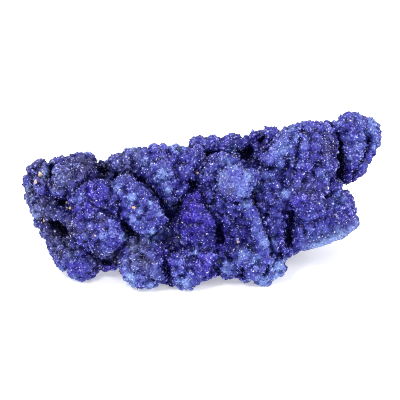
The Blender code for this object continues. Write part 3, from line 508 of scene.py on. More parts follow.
def settle(thing):
    """Makes the modifiers' result the piece's own mesh."""
    shown = thing.evaluated_get(bpy.context.evaluated_depsgraph_get())
    mesh = bpy.data.meshes.new_from_object(shown)
    thing.modifiers.clear()
    thing.data = mesh


def grow_together(thing, voxel):
    """Knits the overlapping solids of a piece into one skin."""
    knit = thing.modifiers.new("grown together", "REMESH")
    knit.mode = "VOXEL"
    knit.voxel_size = voxel
    settle(thing)


grow_together(body, body_voxel)
thin = body.modifiers.new("thin", "DECIMATE")
thin.ratio = body_triangles / sum(len(side.vertices) - 2 for side in body.data.polygons)
settle(body)

# Stray islands are dropped, and the skin is roughened at the scale of the crystals' roots.
roughness_scale = (0.9 * MM, 0.35 * MM)
roughness_height = (0.10 * MM, 0.07 * MM)
skin = bmesh.new()
skin.from_mesh(body.data)


def largest_island(shape):
    """The corners of the biggest connected skin in a mesh."""
    left = set(shape.verts)
    biggest = set()
    while left:
        island, edge = set(), [left.pop()]
        while edge:
            corner = edge.pop()
            island.add(corner)
            for side in corner.link_edges:
                other = side.other_vert(corner)
                if other in left:
                    left.remove(other)
                    edge.append(other)
        if len(island) > len(biggest):
            biggest = island
    return biggest


kept = largest_island(skin)
strays = [corner for corner in skin.verts if corner not in kept]
bmesh.ops.delete(skin, geom=strays, context="VERTS")
skin.normal_update()
moved = []
for corner in skin.verts:
    lift = sum(
        noise.noise(corner.co / scale) * height for scale, height in zip(roughness_scale, roughness_height)
    )
    moved.append(corner.co + corner.normal * lift)
for corner, place in zip(skin.verts, moved):
    corner.co = place


# A crevice is deeper the wider it is, in millimetres, and its walls ease out past its half width.
crevice_least_depth, crevice_depth_per_width = 0.35, 1.2
crevice_wall, crevice_ease = 1.5, 1.1


def crevice_depth(out, lines):
    """How deep in a crevice each place lies, from 0 to 1, and how deep that crevice is in millimetres."""
    strength, deep = np.zeros(len(out)), np.zeros(len(out))
    for line in lines:
        for (*start, wide), (*end, narrow) in zip(line, line[1:]):
            start, way = np.array(start), np.subtract(end, start)
            along = np.clip((out - start) @ way / (way @ way), 0, 1)
            half = wide + along * (narrow - wide)
            away = np.linalg.norm(out - start - along[:, None] * way, axis=1)
            here = np.clip(crevice_wall - crevice_ease * (away / half) ** 2, 0, 1)
            deep = np.where(here > strength, crevice_least_depth + crevice_depth_per_width * half, deep)
            strength = np.maximum(strength, here)
    return strength, deep


# Crevices are cut straight in, into whatever of the skin can be seen from the side they belong to, and each
# line sways a little on its way. Nothing of the stone goes below the floor.
noise.seed_set(7)
crevice = np.zeros(len(skin.verts))
display_lines = [line for group in crevices.values() for line in group]
far_axis = Vector((0, math.cos(display_tilt / 2), math.sin(display_tilt / 2)))
outside = 50 * MM
for lines, side_axis, (sway, every) in (
    (display_lines, toward_axis, (0.18 * MM, 0.7 * MM)),
    (far_crevices, far_axis, (1.6 * MM, 3.6 * MM)),
):
    body_tree = BVHTree.FromBMesh(skin)
    places = np.array([corner.co for corner in skin.verts])
    swayed = places + np.array([noise.noise_vector(corner.co / every) * sway for corner in skin.verts])
    out = across_and_rise(swayed)[:, :2] if lines is display_lines else swayed[:, [0, 2]] / MM
    strength, deep = crevice_depth(out, lines)
    for i in np.flatnonzero(strength):
        place = Vector(places[i])
        met = body_tree.ray_cast(place + side_axis * outside, -side_axis)[0]
        if met is None or (met - place).dot(side_axis) > 0.5 * MM:
            strength[i] = 0
    for corner, share, most in zip(skin.verts, strength, deep):
        corner.co -= side_axis * share * most * MM
        corner.co.z = max(corner.co.z, 0)
    crevice = np.maximum(crevice, strength)
skin.normal_update()
body_tree = BVHTree.FromBMesh(skin)

# How closed in each place is, from 0 in the open to 1 in a crevice, felt out with rings of straight feelers.
# Of each ring: how far it leans from upright, how many feelers it has, and the first one's turn.
feeler_rings = ((0.35, 4, 0.0), (0.85, 6, 0.4), (1.2, 6, 0.9))
feelers = []
for tip, turns, first in feeler_rings:
    for i in range(turns):
        feelers.append(Euler((0, tip, first + math.tau * i / turns)).to_matrix() @ Vector((0, 0, 1)))
reach = 5 * MM
closed = np.zeros(len(skin.verts))
for i, corner in enumerate(skin.verts):
    upright = corner.normal.to_track_quat("Z", "Y").to_matrix()
    start = corner.co + corner.normal * 0.08 * MM
    blocked = 0
    for feeler in feelers:
        met = body_tree.ray_cast(start, upright @ feeler, reach)
        if met[0] is not None:
            blocked += 1 - met[3] / reach
    closed[i] = blocked / len(feelers)
closed = np.maximum(closed, 0.5 * crevice)
skin.to_mesh(body.data)
skin.free()
body.data.shade_smooth()

# How far each place lies back in a cleft between knobs, in millimetres; below zero on a knob's crown.
places = np.empty(len(body.data.vertices) * 3)
body.data.vertices.foreach_get("co", places)
places = places.reshape(-1, 3)
facings = np.empty(places.size, np.float32)
body.data.vertex_normals.foreach_get("vector", facings)
facings = facings.reshape(-1, 3)
ends = np.empty(len(body.data.edges) * 2, np.int32)
body.data.edges.foreach_get("vertices", ends)
ends = ends.reshape(-1, 2)
around = np.bincount(ends.ravel(), minlength=len(places))[:, None]
mean = places
smoothing_rounds = 14
for _ in range(smoothing_rounds):
    total = np.zeros_like(places)
    for i in range(3):
        total[:, i] = np.bincount(ends[:, 0], mean[ends[:, 1], i], len(places))
        total[:, i] += np.bincount(ends[:, 1], mean[ends[:, 0], i], len(places))
    mean = total / around
cleft = ((mean - places) * facings).sum(1) / MM

# Where the crystals of the display side are paler, partly their own powder-blue pallor and partly painted
# highlight where light falls on knob tops and lower edges; deeper violet; darker, mostly painted shade in
# shaded recesses and partly darker mottling; or dulled by dust. Of each patch: across, rise and radius in
# millimetres, and how strongly.
# Paler patches: partly the stone's own powder-blue pallor, partly painted highlight on knob tops and lower
# edges.
pale_and_lit_patches = {
    "left head": [
        (-27.6, 4.0, 1.8, 0.35), (-31.0, 5.0, 1.3, 0.5), (-34.0, 2.6, 1.3, 0.4), (-30.6, 5.0, 1.0, 0.8),
        (-29.9, 6.7, 1.1, 0.6),
    ],
    "left wall": [(-33.4, -3.4, 1.4, 0.7), (-34.4, 0.4, 1.0, 0.6)],
    "first foot": [
        (-25.0, -11.0, 1.3, 0.4), (-27.4, -14.0, 1.1, 0.7), (-24.8, -15.6, 1.1, 0.6),
        (-23.8, -11.4, 1.1, 0.6), (-24.7, -11.3, 1.1, 0.6), (-25.7, -11.2, 1.0, 0.5),
        (-25.3, -11.1, 1.1, 0.9),
    ],
    "left shoulder": [(-23.6, 0.0, 1.1, 0.5)],
    "left belly": [
        (-19.2, -7.2, 1.5, 0.6), (-17.2, -6.0, 1.5, 0.5), (-18.8, -9.6, 1.3, 0.5), (-22.2, -6.6, 1.1, 0.4),
        (-21.6, -4.0, 1.2, 0.35), (-14.9, -7.1, 1.0, 0.9),
    ],
    "leaning block": [
        (-13.4, 0.2, 1.2, 0.9), (-16.2, 2.4, 1.3, 0.6), (-13.1, -3.6, 1.3, 0.7), (-9.8, -0.6, 0.6, 1.0),
        (-8.0, -2.6, 1.1, 0.7), (-12.2, -1.7, 1.0, 0.9), (-9.9, -7.0, 0.9, 0.7), (-8.8, -6.4, 1.0, 0.5),
        (-9.3, -6.7, 1.1, 1.0),
    ],
    "crest": [
        (-11.4, 7.4, 1.3, 0.4), (-12.9, 10.4, 1.2, 0.6), (-4.8, 11.0, 1.5, 0.9), (-4.3, 10.2, 1.2, 1.0),
    ],
    "wedge under the crest": [(-7.4, 5.0, 1.7, 0.8), (-6.2, 2.0, 0.8, 0.9), (-5.9, -1.3, 0.9, 0.5)],
    "middle column": [(-7.0, -6.2, 1.1, 0.6)],
    "second foot": [
        (-12.6, -9.4, 1.0, 0.5), (-13.4, -9.0, 1.1, 0.5), (-10.0, -12.4, 2.4, 0.2),
        (-14.2, -12.6, 1.8, 0.6), (-10.0, -16.6, 2.0, 0.3), (-14.2, -16.4, 1.5, 1.3),
        (-9.8, -8.0, 1.0, 0.7), (-9.9, -17.2, 1.2, 0.8), (-13.7, -14.9, 1.2, 1.0),
    ],
    "third foot": [
        (-3.4, -15.6, 1.7, 0.6), (-4.2, -12.0, 1.3, 0.6), (-0.8, -10.4, 0.8, 0.9), (-3.4, -16.2, 1.4, 0.8),
        (-2.4, -17.6, 1.0, 0.6), (-4.2, -17.6, 1.0, 0.6),
    ],
    "small ball": [(5.6, -13.2, 2.0, 0.6)],
    "far crest": [(7.0, 10.4, 1.0, 0.4), (6.5, 10.2, 1.1, 0.9)],
    "nodule collar": [
        (7.6, 3.0, 2.2, 0.5), (4.6, 5.0, 1.0, 0.6), (6.4, 6.2, 0.9, 0.7), (9.6, 4.9, 1.0, 1.0),
        (3.7, 3.4, 0.5, 0.9), (5.4, 7.4, 1.1, 0.7),
    ],
    "nodule stem": [
        (8.4, 1.2, 1.2, 0.6), (9.0, -0.8, 1.0, 0.9), (11.4, -6.0, 1.3, 0.5), (12.8, -8.4, 1.2, 0.7),
        (11.6, -4.4, 1.0, 0.5), (10.4, -9.8, 1.0, 0.6),
    ],
    "fourth foot": [
        (8.6, -10.4, 1.7, 0.6), (15.4, -13.4, 1.8, 0.9), (12.4, -16.0, 1.8, 0.7), (11.3, -12.4, 1.3, 0.5),
        (17.0, -12.2, 1.0, 0.5), (9.4, -16.2, 1.1, 0.5), (16.3, -15.0, 1.0, 0.8), (15.1, -15.9, 1.2, 1.0),
        (11.1, -11.9, 1.1, 0.9),
    ],
    "right waist": [
        (17.0, 1.2, 1.2, 0.8), (14.4, -7.8, 1.1, 1.0), (11.8, 2.5, 1.2, 0.5), (14.6, -10.2, 1.2, 0.5),
        (13.4, 4.6, 1.1, 0.5), (11.4, 2.3, 1.2, 1.0),
    ],
    "oblong knob": [
        (15.0, 8.6, 2.0, 0.6), (16.6, 10.2, 1.8, 0.6), (15.8, 6.0, 1.0, 0.5), (15.4, 6.6, 1.0, 0.6),
    ],
    "right crest": [(18.0, 14.6, 1.3, 0.5), (18.8, 12.4, 1.0, 0.6)],
    "right wall": [(23.8, 5.0, 1.2, 0.4), (18.2, 7.8, 1.0, 0.5), (20.2, 10.8, 1.1, 0.5)],
    "right boss": [(24.4, -6.4, 1.6, 0.4)],
    "right slab": [
        (22.4, -7.0, 1.6, 0.3), (28.0, -3.6, 1.4, 0.2), (21.0, -9.6, 0.9, 0.5), (22.8, -9.2, 1.1, 0.9),
        (24.6, -8.5, 1.3, 0.9), (26.6, -7.7, 1.3, 1.0), (28.6, -6.8, 1.2, 0.9), (30.4, -5.8, 1.0, 0.8),
        (31.4, -4.8, 0.7, 0.6), (27.7, 0.0, 1.4, 0.7), (23.1, -7.9, 1.1, 0.7), (27.7, -5.8, 1.2, 0.7),
        (27.9, -6.1, 1.2, 1.0),
    ],
    "right head": [
        (31.0, 11.0, 2.0, 0.25), (31.6, 16.4, 1.6, 0.3), (34.6, 15.0, 1.2, 0.5), (35.6, 11.0, 1.2, 0.6),
        (35.5, 10.5, 1.0, 0.8), (29.5, 8.0, 1.1, 0.4), (28.9, 12.2, 1.0, 0.4), (35.2, 14.6, 1.1, 0.6),
        (34.2, 12.8, 1.0, 0.5), (33.5, 13.5, 1.1, 0.7), (34.5, 15.5, 1.0, 0.8), (28.9, 12.1, 1.0, 0.8),
    ],
}
violet_patches = {
    "first foot": [(-25.0, -12.4, 2.2, 0.5)],
    "left shoulder": [(-21.0, 1.0, 2.2, 0.9), (-22.0, -1.2, 1.8, 0.8), (-21.6, 3.0, 1.4, 0.8)],
    "left belly": [(-20.0, -4.4, 1.3, 0.5), (-23.6, -3.2, 1.8, 0.6)],
    "recess between the first feet": [(-18.2, -13.6, 1.3, 1.0)],
    "leaning block": [(-7.4, -3.0, 1.4, 0.5)],
    "middle column": [
        (-1.0, -0.6, 2.0, 1.0), (-1.4, -3.4, 2.2, 1.0), (1.0, -4.4, 2.0, 0.9), (-2.4, -6.4, 1.8, 0.8),
    ],
    "third foot": [
        (1.0, -11.6, 1.9, 0.9), (-4.2, -12.0, 1.6, 0.6), (-5.8, -12.4, 1.2, 0.7), (1.6, -14.0, 1.6, 0.6),
    ],
    "far crest": [(11.0, 12.0, 1.9, 0.6)],
    "hollow by the stem": [(3.8, -8.6, 1.8, 0.6)],
    "right wall": [(26.0, 10.0, 2.8, 0.4)],
    "right boss": [(19.4, 0.0, 2.0, 0.9), (20.6, 0.6, 1.4, 0.8)],
    "right head": [(30.6, 4.8, 1.8, 0.5)],
}
# Darker patches: mostly painted shade in shaded recesses and under overhangs, partly darker mottling of the
# stone.
dark_and_shade_patches = {
    "left head": [
        (-20.2, 6.4, 1.8, 0.8), (-22.6, 6.4, 1.9, 1.3), (-27.2, 8.7, 1.4, 0.8), (-28.2, 4.0, 1.4, 0.6),
        (-35.6, 3.4, 1.0, 0.5), (-20.6, 7.4, 1.6, 1.3), (-32.8, 7.8, 1.1, 0.6), (-33.8, 7.0, 0.9, 0.6),
        (-21.4, 6.8, 1.2, 1.9), (-26.7, 8.8, 1.2, 1.3),
    ],
    "left wall": [
        (-25.7, -7.2, 1.6, 0.7), (-29.6, -3.0, 2.4, 0.3), (-29.4, -7.4, 1.8, 0.4), (-25.8, -6.5, 2.0, 1.3),
        (-25.4, -6.9, 1.2, 1.4), (-25.9, -7.4, 1.2, 2.0),
    ],
    "left shoulder": [(-22.0, -1.8, 1.1, 0.5), (-23.0, 2.8, 1.0, 0.8), (-24.1, 2.2, 1.1, 0.7)],
    "left belly": [(-20.0, -10.3, 1.4, 1.0), (-20.1, -10.6, 1.2, 1.4)],
    "recess between the first feet": [(-20.0, -10.8, 1.5, 0.6)],
    "leaning block": [(-8.4, 0.6, 1.2, 0.5)],
    "crest": [(-12.4, 5.6, 1.6, 0.5), (-18.4, 8.2, 1.0, 0.8)],
    "wedge under the crest": [
        (-3.2, 3.9, 1.3, 0.7), (-5.6, 3.2, 0.9, 0.4), (-8.6, 5.4, 0.9, 0.4), (-3.9, 3.1, 1.0, 1.1),
    ],
    "middle column": [
        (1.8, -7.2, 1.6, 0.8), (-5.4, -5.6, 2.0, 0.6), (-3.0, -2.4, 1.1, 0.9), (-0.4, -7.4, 1.2, 0.8),
        (1.5, -6.6, 1.7, 1.1), (-3.9, -5.0, 1.1, 0.8), (-4.1, -4.6, 1.1, 1.4), (-1.8, -5.9, 1.0, 1.2),
    ],
    "second foot": [(-7.0, -9.6, 1.7, 0.8), (-10.6, -12.4, 1.2, 0.7)],
    "third foot": [(-4.6, -11.0, 1.1, 0.9), (3.0, -15.6, 1.2, 0.7), (-1.7, -13.4, 1.2, 0.8)],
    "small ball": [(5.2, -15.6, 1.1, 0.6)],
    "far crest": [
        (7.0, 10.6, 2.2, 0.5), (11.4, 11.2, 1.2, 0.7), (10.2, 12.8, 1.2, 0.6), (11.8, 11.1, 1.2, 1.0),
        (12.2, 10.8, 1.2, 1.7),
    ],
    "nodule collar": [
        (10.2, 7.6, 1.6, 0.9), (1.7, 6.8, 1.3, 0.6), (6.0, 1.8, 0.9, 0.6), (0.9, 5.8, 1.0, 0.6),
        (1.6, 7.6, 1.2, 1.0),
    ],
    "nodule stem": [(5.0, -1.2, 1.2, 0.5)],
    "hollow by the stem": [
        (6.8, -7.0, 2.2, 1.0), (7.2, -4.6, 1.8, 0.7), (4.4, -9.4, 1.6, 0.6), (6.3, -9.2, 1.1, 0.9),
        (6.3, -9.2, 1.0, 1.4),
    ],
    "right waist": [
        (12.6, -0.6, 1.6, 0.6), (16.6, -3.0, 1.6, 0.5), (13.0, 0.6, 1.4, 0.4), (16.4, -8.0, 1.4, 0.6),
        (14.6, -5.4, 2.6, 0.35), (16.6, -8.8, 1.1, 0.8), (11.8, -5.7, 0.9, 0.5),
    ],
    "right wall": [
        (27.6, 3.8, 1.6, 0.6), (16.6, 4.2, 1.2, 0.2), (24.0, 3.0, 3.0, 0.35), (24.4, 9.4, 2.4, 0.35),
        (26.0, 10.6, 2.0, 1.3), (26.8, 3.4, 1.2, 0.5), (27.0, 3.8, 1.2, 0.8), (26.5, 8.2, 1.2, 0.5),
        (26.1, 10.8, 1.2, 1.9),
    ],
    "right boss": [(24.1, -1.4, 1.8, 0.5), (23.8, -0.6, 1.8, 0.6)],
    "right slab": [(24.8, -1.6, 1.2, 0.4)],
    "right head": [(29.4, 5.2, 2.0, 0.6), (30.1, 15.4, 1.1, 0.6)],
}
dull_patches = {
    "left head": [
        (-27.6, 4.0, 3.0, 0.7), (-32.0, 6.0, 3.0, 0.7), (-24.0, 6.5, 3.0, 0.7), (-19.5, 6.2, 1.6, 0.9),
    ],
    "left wall": [
        (-31.0, -2.5, 3.0, 0.9), (-29.0, -6.5, 3.0, 0.9), (-26.0, -5.5, 2.2, 0.8), (-34.5, 1.0, 2.0, 0.8),
    ],
    "first foot": [(-27.0, -10.0, 2.5, 0.6), (-20.3, -11.8, 2.0, 0.7)],
    "left belly": [(-19.6, -3.8, 1.2, 0.6), (-22.0, -6.4, 1.6, 0.4)],
    "recess between the first feet": [(-17.0, -11.6, 1.5, 0.9)],
    "crest": [(-15.0, 7.0, 2.4, 0.5), (-13.4, 9.6, 2.0, 0.5)],
    "middle column": [(-5.0, -7.6, 1.4, 0.6)],
    "second foot": [(-11.5, -11.4, 2.8, 0.7), (-12.0, -9.0, 2.0, 0.9), (-9.4, -14.6, 1.6, 0.4)],
    "far crest": [(9.4, 9.0, 1.5, 0.6)],
    "nodule collar": [(5.6, 1.7, 1.0, 0.9), (4.8, 4.0, 1.0, 0.5)],
    "right wall": [(21.0, 2.0, 2.6, 0.4), (26.0, 10.4, 2.4, 0.5)],
    "right slab": [
        (22.0, -9.0, 1.6, 0.4), (25.0, -8.3, 1.6, 0.5), (28.0, -7.0, 1.6, 0.5), (30.6, -5.4, 1.6, 0.5),
    ],
}

# Where the crystals are so fine that the surface looks smooth and powdery.
fine_patches = {
    "nodule and its stem": [
        (6.8, 3.2, 2.6, 1.0), (9.2, -1.2, 0.9, 0.7), (10.6, -3.6, 1.0, 0.6), (11.8, -7.0, 1.0, 0.7),
    ],
    "slab edge": [
        (19.8, -9.2, 1.1, 0.9), (21.4, -9.5, 1.1, 1.0), (23.2, -9.1, 1.1, 1.0), (25.0, -8.5, 1.1, 1.0),
        (26.8, -7.7, 1.1, 1.0), (28.4, -6.9, 1.1, 1.0), (29.8, -6.1, 1.1, 1.0), (31.0, -5.2, 1.1, 1.0),
    ],
}


def patchiness(places, patches):
    """How strongly each of these places lies in one of the patches, which fade out past their radius."""
    strength = np.zeros(len(places))
    out = across_and_rise(places)
    for group in patches.values():
        for across, rise, radius, most in group:
            away = np.hypot(out[:, 0] - across, out[:, 1] - rise) / radius
            here = most * np.clip(1.6 - away * 1.1, 0, 1) * (out[:, 2] > behind_display)
            strength = np.maximum(strength, here)
    return strength


def cloudiness(places, scale, seed):
    """A slow swell between -1 and 1 over these places."""
    start = Vector((seed, seed * 0.7, 0))
    return np.array([noise.noise(Vector(place) / scale + start) for place in places])


# The patches, and slow clouds besides, which on the far side stand alone.
far = np.clip(-facings @ np.array(toward_axis) * 2, 0, 1)
pale_and_lit = np.clip(patchiness(places, pale_and_lit_patches), 0, 1)
worn = np.maximum(0.4 * pale_and_lit, patchiness(places, fine_patches))
pale_and_lit += 0.55 * np.clip(cloudiness(places, 3.2 * MM, 5.0) - 0.12, 0, 1)
pale_and_lit += 1.1 * far * np.clip(cloudiness(places, 4.6 * MM, 13.0) - 0.08, 0, 1)
violet = patchiness(places, violet_patches) + 0.8 * np.clip(cloudiness(places, 4.5 * MM, 9.0), 0, 1)
violet += 1.2 * far * np.clip(cloudiness(places, 5.4 * MM, 17.0), 0, 1)
dull = patchiness(places, dull_patches) * (1 + 0.5 * cloudiness(places, 1.6 * MM, 25.0))
dull = np.clip(dull + 1.6 * far * np.clip(cloudiness(places, 7.0 * MM, 21.0) - 0.05, 0, 1), 0, 1)
# Painted shade, with some real darker mottling, from the darker patches.
dark_and_shade = patchiness(places, dark_and_shade_patches)

# How light the stone is, with painted shade where it is closed in, in crevices, in the clefts between knobs
# and in the darker patches, and painted highlight on knob crowns and on the paler patches; and how far it
# leans from violet to powder blue.
tone = 0.550 + 0.17 * pale_and_lit - 0.46 * closed - 0.02 * dull - 0.20 * dark_and_shade
tone += 0.07 * cloudiness(places, 1.2 * MM, 3.0) - 0.15 * crevice
# Painted shade in the clefts between knobs, painted highlight on their crowns.
tone -= np.clip(cleft, -0.25, 0.35) * 0.50
tint = 0.42 + 0.42 * pale_and_lit - 0.34 * violet + 0.08 * dull - 0.10 * dark_and_shade
for name, values in (("tone", tone), ("tint", tint), ("dust", dull)):
    layer = body.data.attributes.new(name, "FLOAT", "POINT")
    layer.data.foreach_set("value", np.clip(values, 0, 1).astype(np.float32))


def worked_out(nodes, links, operation, *values):
    """The output of a Math node that works on these values, each a number or another node's output."""
    node = nodes.new("ShaderNodeMath")
    node.operation = operation
    for socket, value in zip(node.inputs, values):
        if isinstance(value, (int, float)):
            socket.default_value = value
        else:
            links.new(value, socket)
    return node.outputs["Value"]


def azurite_colour():
    """The stone's colour, by how light it is, how far it leans from violet to powder blue, and its dust."""
    group = bpy.data.node_groups.new("azurite colour", "ShaderNodeTree")
    for name in ("Tone", "Tint", "Dust"):
        group.interface.new_socket(name, in_out="INPUT", socket_type="NodeSocketFloat")
    group.interface.new_socket("Color", in_out="OUTPUT", socket_type="NodeSocketColor")
    nodes, links = group.nodes, group.links
    given, out = nodes.new("NodeGroupInput"), nodes.new("NodeGroupOutput")
    # The lightest stop of every stone, a near-white lilac, is a painted glint.
    glint = (0.72, 0.74, 1.00)
    # From the darkest to the lightest: violet stone, plain blue stone and powder blue stone.
    stones = (
        ((0.007, 0.004, 0.100), (0.017, 0.011, 0.178), (0.045, 0.026, 0.410), (0.235, 0.190, 0.820), glint),
        ((0.006, 0.006, 0.086), (0.017, 0.017, 0.152), (0.048, 0.052, 0.325), (0.275, 0.320, 0.820), glint),
        ((0.007, 0.012, 0.074), (0.030, 0.050, 0.202), (0.098, 0.174, 0.475), (0.360, 0.510, 0.870), glint),
    )
    shades = []
    for stone in stones:
        ramp = nodes.new("ShaderNodeValToRGB")
        stops = ramp.color_ramp.elements
        stops[0].position, stops[-1].position = 0.0, 1.0
        for position in (0.28, 0.53, 0.85):
            stops.new(position)
        for stop, colour in zip(stops, stone):
            stop.color = (*colour, 1)
        links.new(given.outputs["Tone"], ramp.inputs["Fac"])
        shades.append(ramp.outputs["Color"])
    mixed = shades[0]
    for shade, low, high in ((shades[1], 0.0, 0.5), (shades[2], 0.5, 1.0)):
        lean = nodes.new("ShaderNodeMapRange")
        lean.inputs["From Min"].default_value, lean.inputs["From Max"].default_value = low, high
        links.new(given.outputs["Tint"], lean.inputs["Value"])
        mix = nodes.new("ShaderNodeMix")
        mix.data_type = "RGBA"
        links.new(lean.outputs["Result"], mix.inputs["Factor"])
        links.new(mixed, mix.inputs["A"])
        links.new(shade, mix.inputs["B"])
        mixed = mix.outputs["Result"]
    dusty = nodes.new("ShaderNodeHueSaturation")
    dusty.inputs["Saturation"].default_value = 0.82
    dusty.inputs["Value"].default_value = 0.80
    links.new(given.outputs["Dust"], dusty.inputs["Fac"])
    links.new(mixed, dusty.inputs["Color"])
    links.new(dusty.outputs["Color"], out.inputs["Color"])
    return group


azurite_group = azurite_colour()


def druse_facets():
    """Normals broken into flat facets a third of a millimetre across, each tilted its own way."""
    group = bpy.data.node_groups.new("druse facets", "ShaderNodeTree")
    group.interface.new_socket("Normal", in_out="OUTPUT", socket_type="NodeSocketVector")
    nodes, links = group.nodes, group.links
    out = nodes.new("NodeGroupOutput")
    seat = nodes.new("ShaderNodeTexCoord")
    cells = nodes.new("ShaderNodeTexVoronoi")
    cells.inputs["Scale"].default_value = 2700
    links.new(seat.outputs["Object"], cells.inputs["Vector"])
    tilt = nodes.new("ShaderNodeVectorMath")
    tilt.operation = "MULTIPLY_ADD"
    tilt.inputs[1].default_value = (1.3, 1.3, 1.3)
    tilt.inputs[2].default_value = (-0.65, -0.65, -0.65)
    links.new(cells.outputs["Color"], tilt.inputs[0])
    facing = nodes.new("ShaderNodeNewGeometry")
    tilted = nodes.new("ShaderNodeVectorMath")
    tilted.operation = "ADD"
    links.new(facing.outputs["Normal"], tilted.inputs[0])
    links.new(tilt.outputs["Vector"], tilted.inputs[1])
    unit = nodes.new("ShaderNodeVectorMath")
    unit.operation = "NORMALIZE"
    links.new(tilted.outputs["Vector"], unit.inputs[0])
    links.new(unit.outputs["Vector"], out.inputs["Normal"])
    return group


facet_group = druse_facets()


def stone_material(name, roughness, gloss):
    """An azurite material, with its nodes, its links and the colour group's node, which takes the values."""
    material = bpy.data.materials.new(name)
    material.use_nodes = True
    nodes, links = material.node_tree.nodes, material.node_tree.links
    shader = nodes["Principled BSDF"]
    shader.inputs["Roughness"].default_value = roughness
    shader.inputs["IOR"].default_value = 1.7
    shader.inputs["Specular IOR Level"].default_value = gloss
    colour = nodes.new("ShaderNodeGroup")
    colour.node_tree = azurite_group
    links.new(colour.outputs["Color"], shader.inputs["Base Color"])
    facets = nodes.new("ShaderNodeGroup")
    facets.node_tree = facet_group
    links.new(facets.outputs["Normal"], shader.inputs["Normal"])
    return material, nodes, links, colour


def from_mesh(nodes, name):
    """The output that brings a value held by the mesh into a material."""
    node = nodes.new("ShaderNodeAttribute")
    node.attribute_name = name
    return node.outputs["Fac"]


body_material, nodes, links, colour = stone_material("azurite crust", 0.25, 0.3)
speckle = nodes.new("ShaderNodeTexNoise")
speckle.inputs["Scale"].default_value = 2600
speckle.inputs["Detail"].default_value = 3
seat = nodes.new("ShaderNodeTexCoord")
links.new(seat.outputs["Object"], speckle.inputs["Vector"])
# The body's tone is lowered as painted shade, since it shows only in the shade between the crystals.
speckle_strength, painted_root_shade = 0.5, -0.42  # the body shows only between the crystals, in their shade
speckled = worked_out(
    nodes, links, "MULTIPLY_ADD", speckle.outputs["Fac"], speckle_strength, painted_root_shade
)
shaded = worked_out(nodes, links, "ADD", speckled, from_mesh(nodes, "tone"))
links.new(shaded, colour.inputs["Tone"])
links.new(from_mesh(nodes, "tint"), colour.inputs["Tint"])
links.new(from_mesh(nodes, "dust"), colour.inputs["Dust"])
body.data.materials.clear()
body.data.materials.append(body_material)
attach(body, "root")
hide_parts("azurite_cluster")

# ---- Druse ----
# The crust of small glassy azurite crystals that coats every knob: blocks, wedges, double points and splinters
# a quarter to two thirds of a millimetre across, grown out of the surface at all angles.

crystal_size_spread = 0.28  # of the logarithm of a crystal's width
least_size, greatest_size = 0.55, 1.7  # times the usual width
most_lean = 0.75  # radians from upright
sunk_depth = (-0.40, -0.08)  # times a crystal's size, from the surface to its middle
tone_spread, tint_spread = 0.36, 0.10
# A few of the small crystals are coloured near white as painted glints.
painted_glint_share, painted_glint_size, painted_glint_tone = 0.085, 0.40 * MM, 0.98


def crystal(kind):
    """The corners and faces of one crystal about a millimetre across, from a reshaped primitive."""
    shape = bmesh.new()
    if kind == "splinter":
        bmesh.ops.create_cone(shape, cap_ends=True, segments=3, radius1=0.55, radius2=0, depth=1.0)
        bmesh.ops.remove_doubles(shape, verts=shape.verts, dist=1e-4)
    elif kind == "pointed":
        bmesh.ops.create_uvsphere(shape, u_segments=4, v_segments=2, radius=0.5)
        bmesh.ops.scale(shape, vec=(1.0, 0.8, 1.25), verts=shape.verts)
    else:
        bmesh.ops.create_cube(shape, size=0.8)
        top = [corner for corner in shape.verts if corner.co.z > 0]
        if kind == "wedge":
            bmesh.ops.scale(shape, vec=(0.0, 0.85, 1.15), verts=top)
            bmesh.ops.remove_doubles(shape, verts=shape.verts, dist=1e-4)
        else:
            bmesh.ops.scale(shape, vec=(0.85, 0.75, 1.0), verts=top)
            bmesh.ops.translate(shape, vec=(0.22, 0, 0), verts=top)
            bmesh.ops.scale(shape, vec=(1.1, 0.75, 1.0), verts=shape.verts)
    bmesh.ops.triangulate(shape, faces=shape.faces)
    bmesh.ops.recalc_face_normals(shape, faces=shape.faces)
    return corners_and_faces(shape)


def random_turns(facings, lean, chance):
    """For each facing, a turn that stands a crystal on it, leaning up to this far and spun at random."""
    count = len(facings)
    side = np.cross(facings, chance.normal(size=(count, 3)))
    side /= np.linalg.norm(side, axis=1)[:, None]
    tip = chance.uniform(0, lean, count)[:, None]
    up = facings * np.cos(tip) + side * np.sin(tip)
    other = np.cross(up, chance.normal(size=(count, 3)))
    other /= np.linalg.norm(other, axis=1)[:, None]
    return np.stack([other, np.cross(up, other), up], 2)


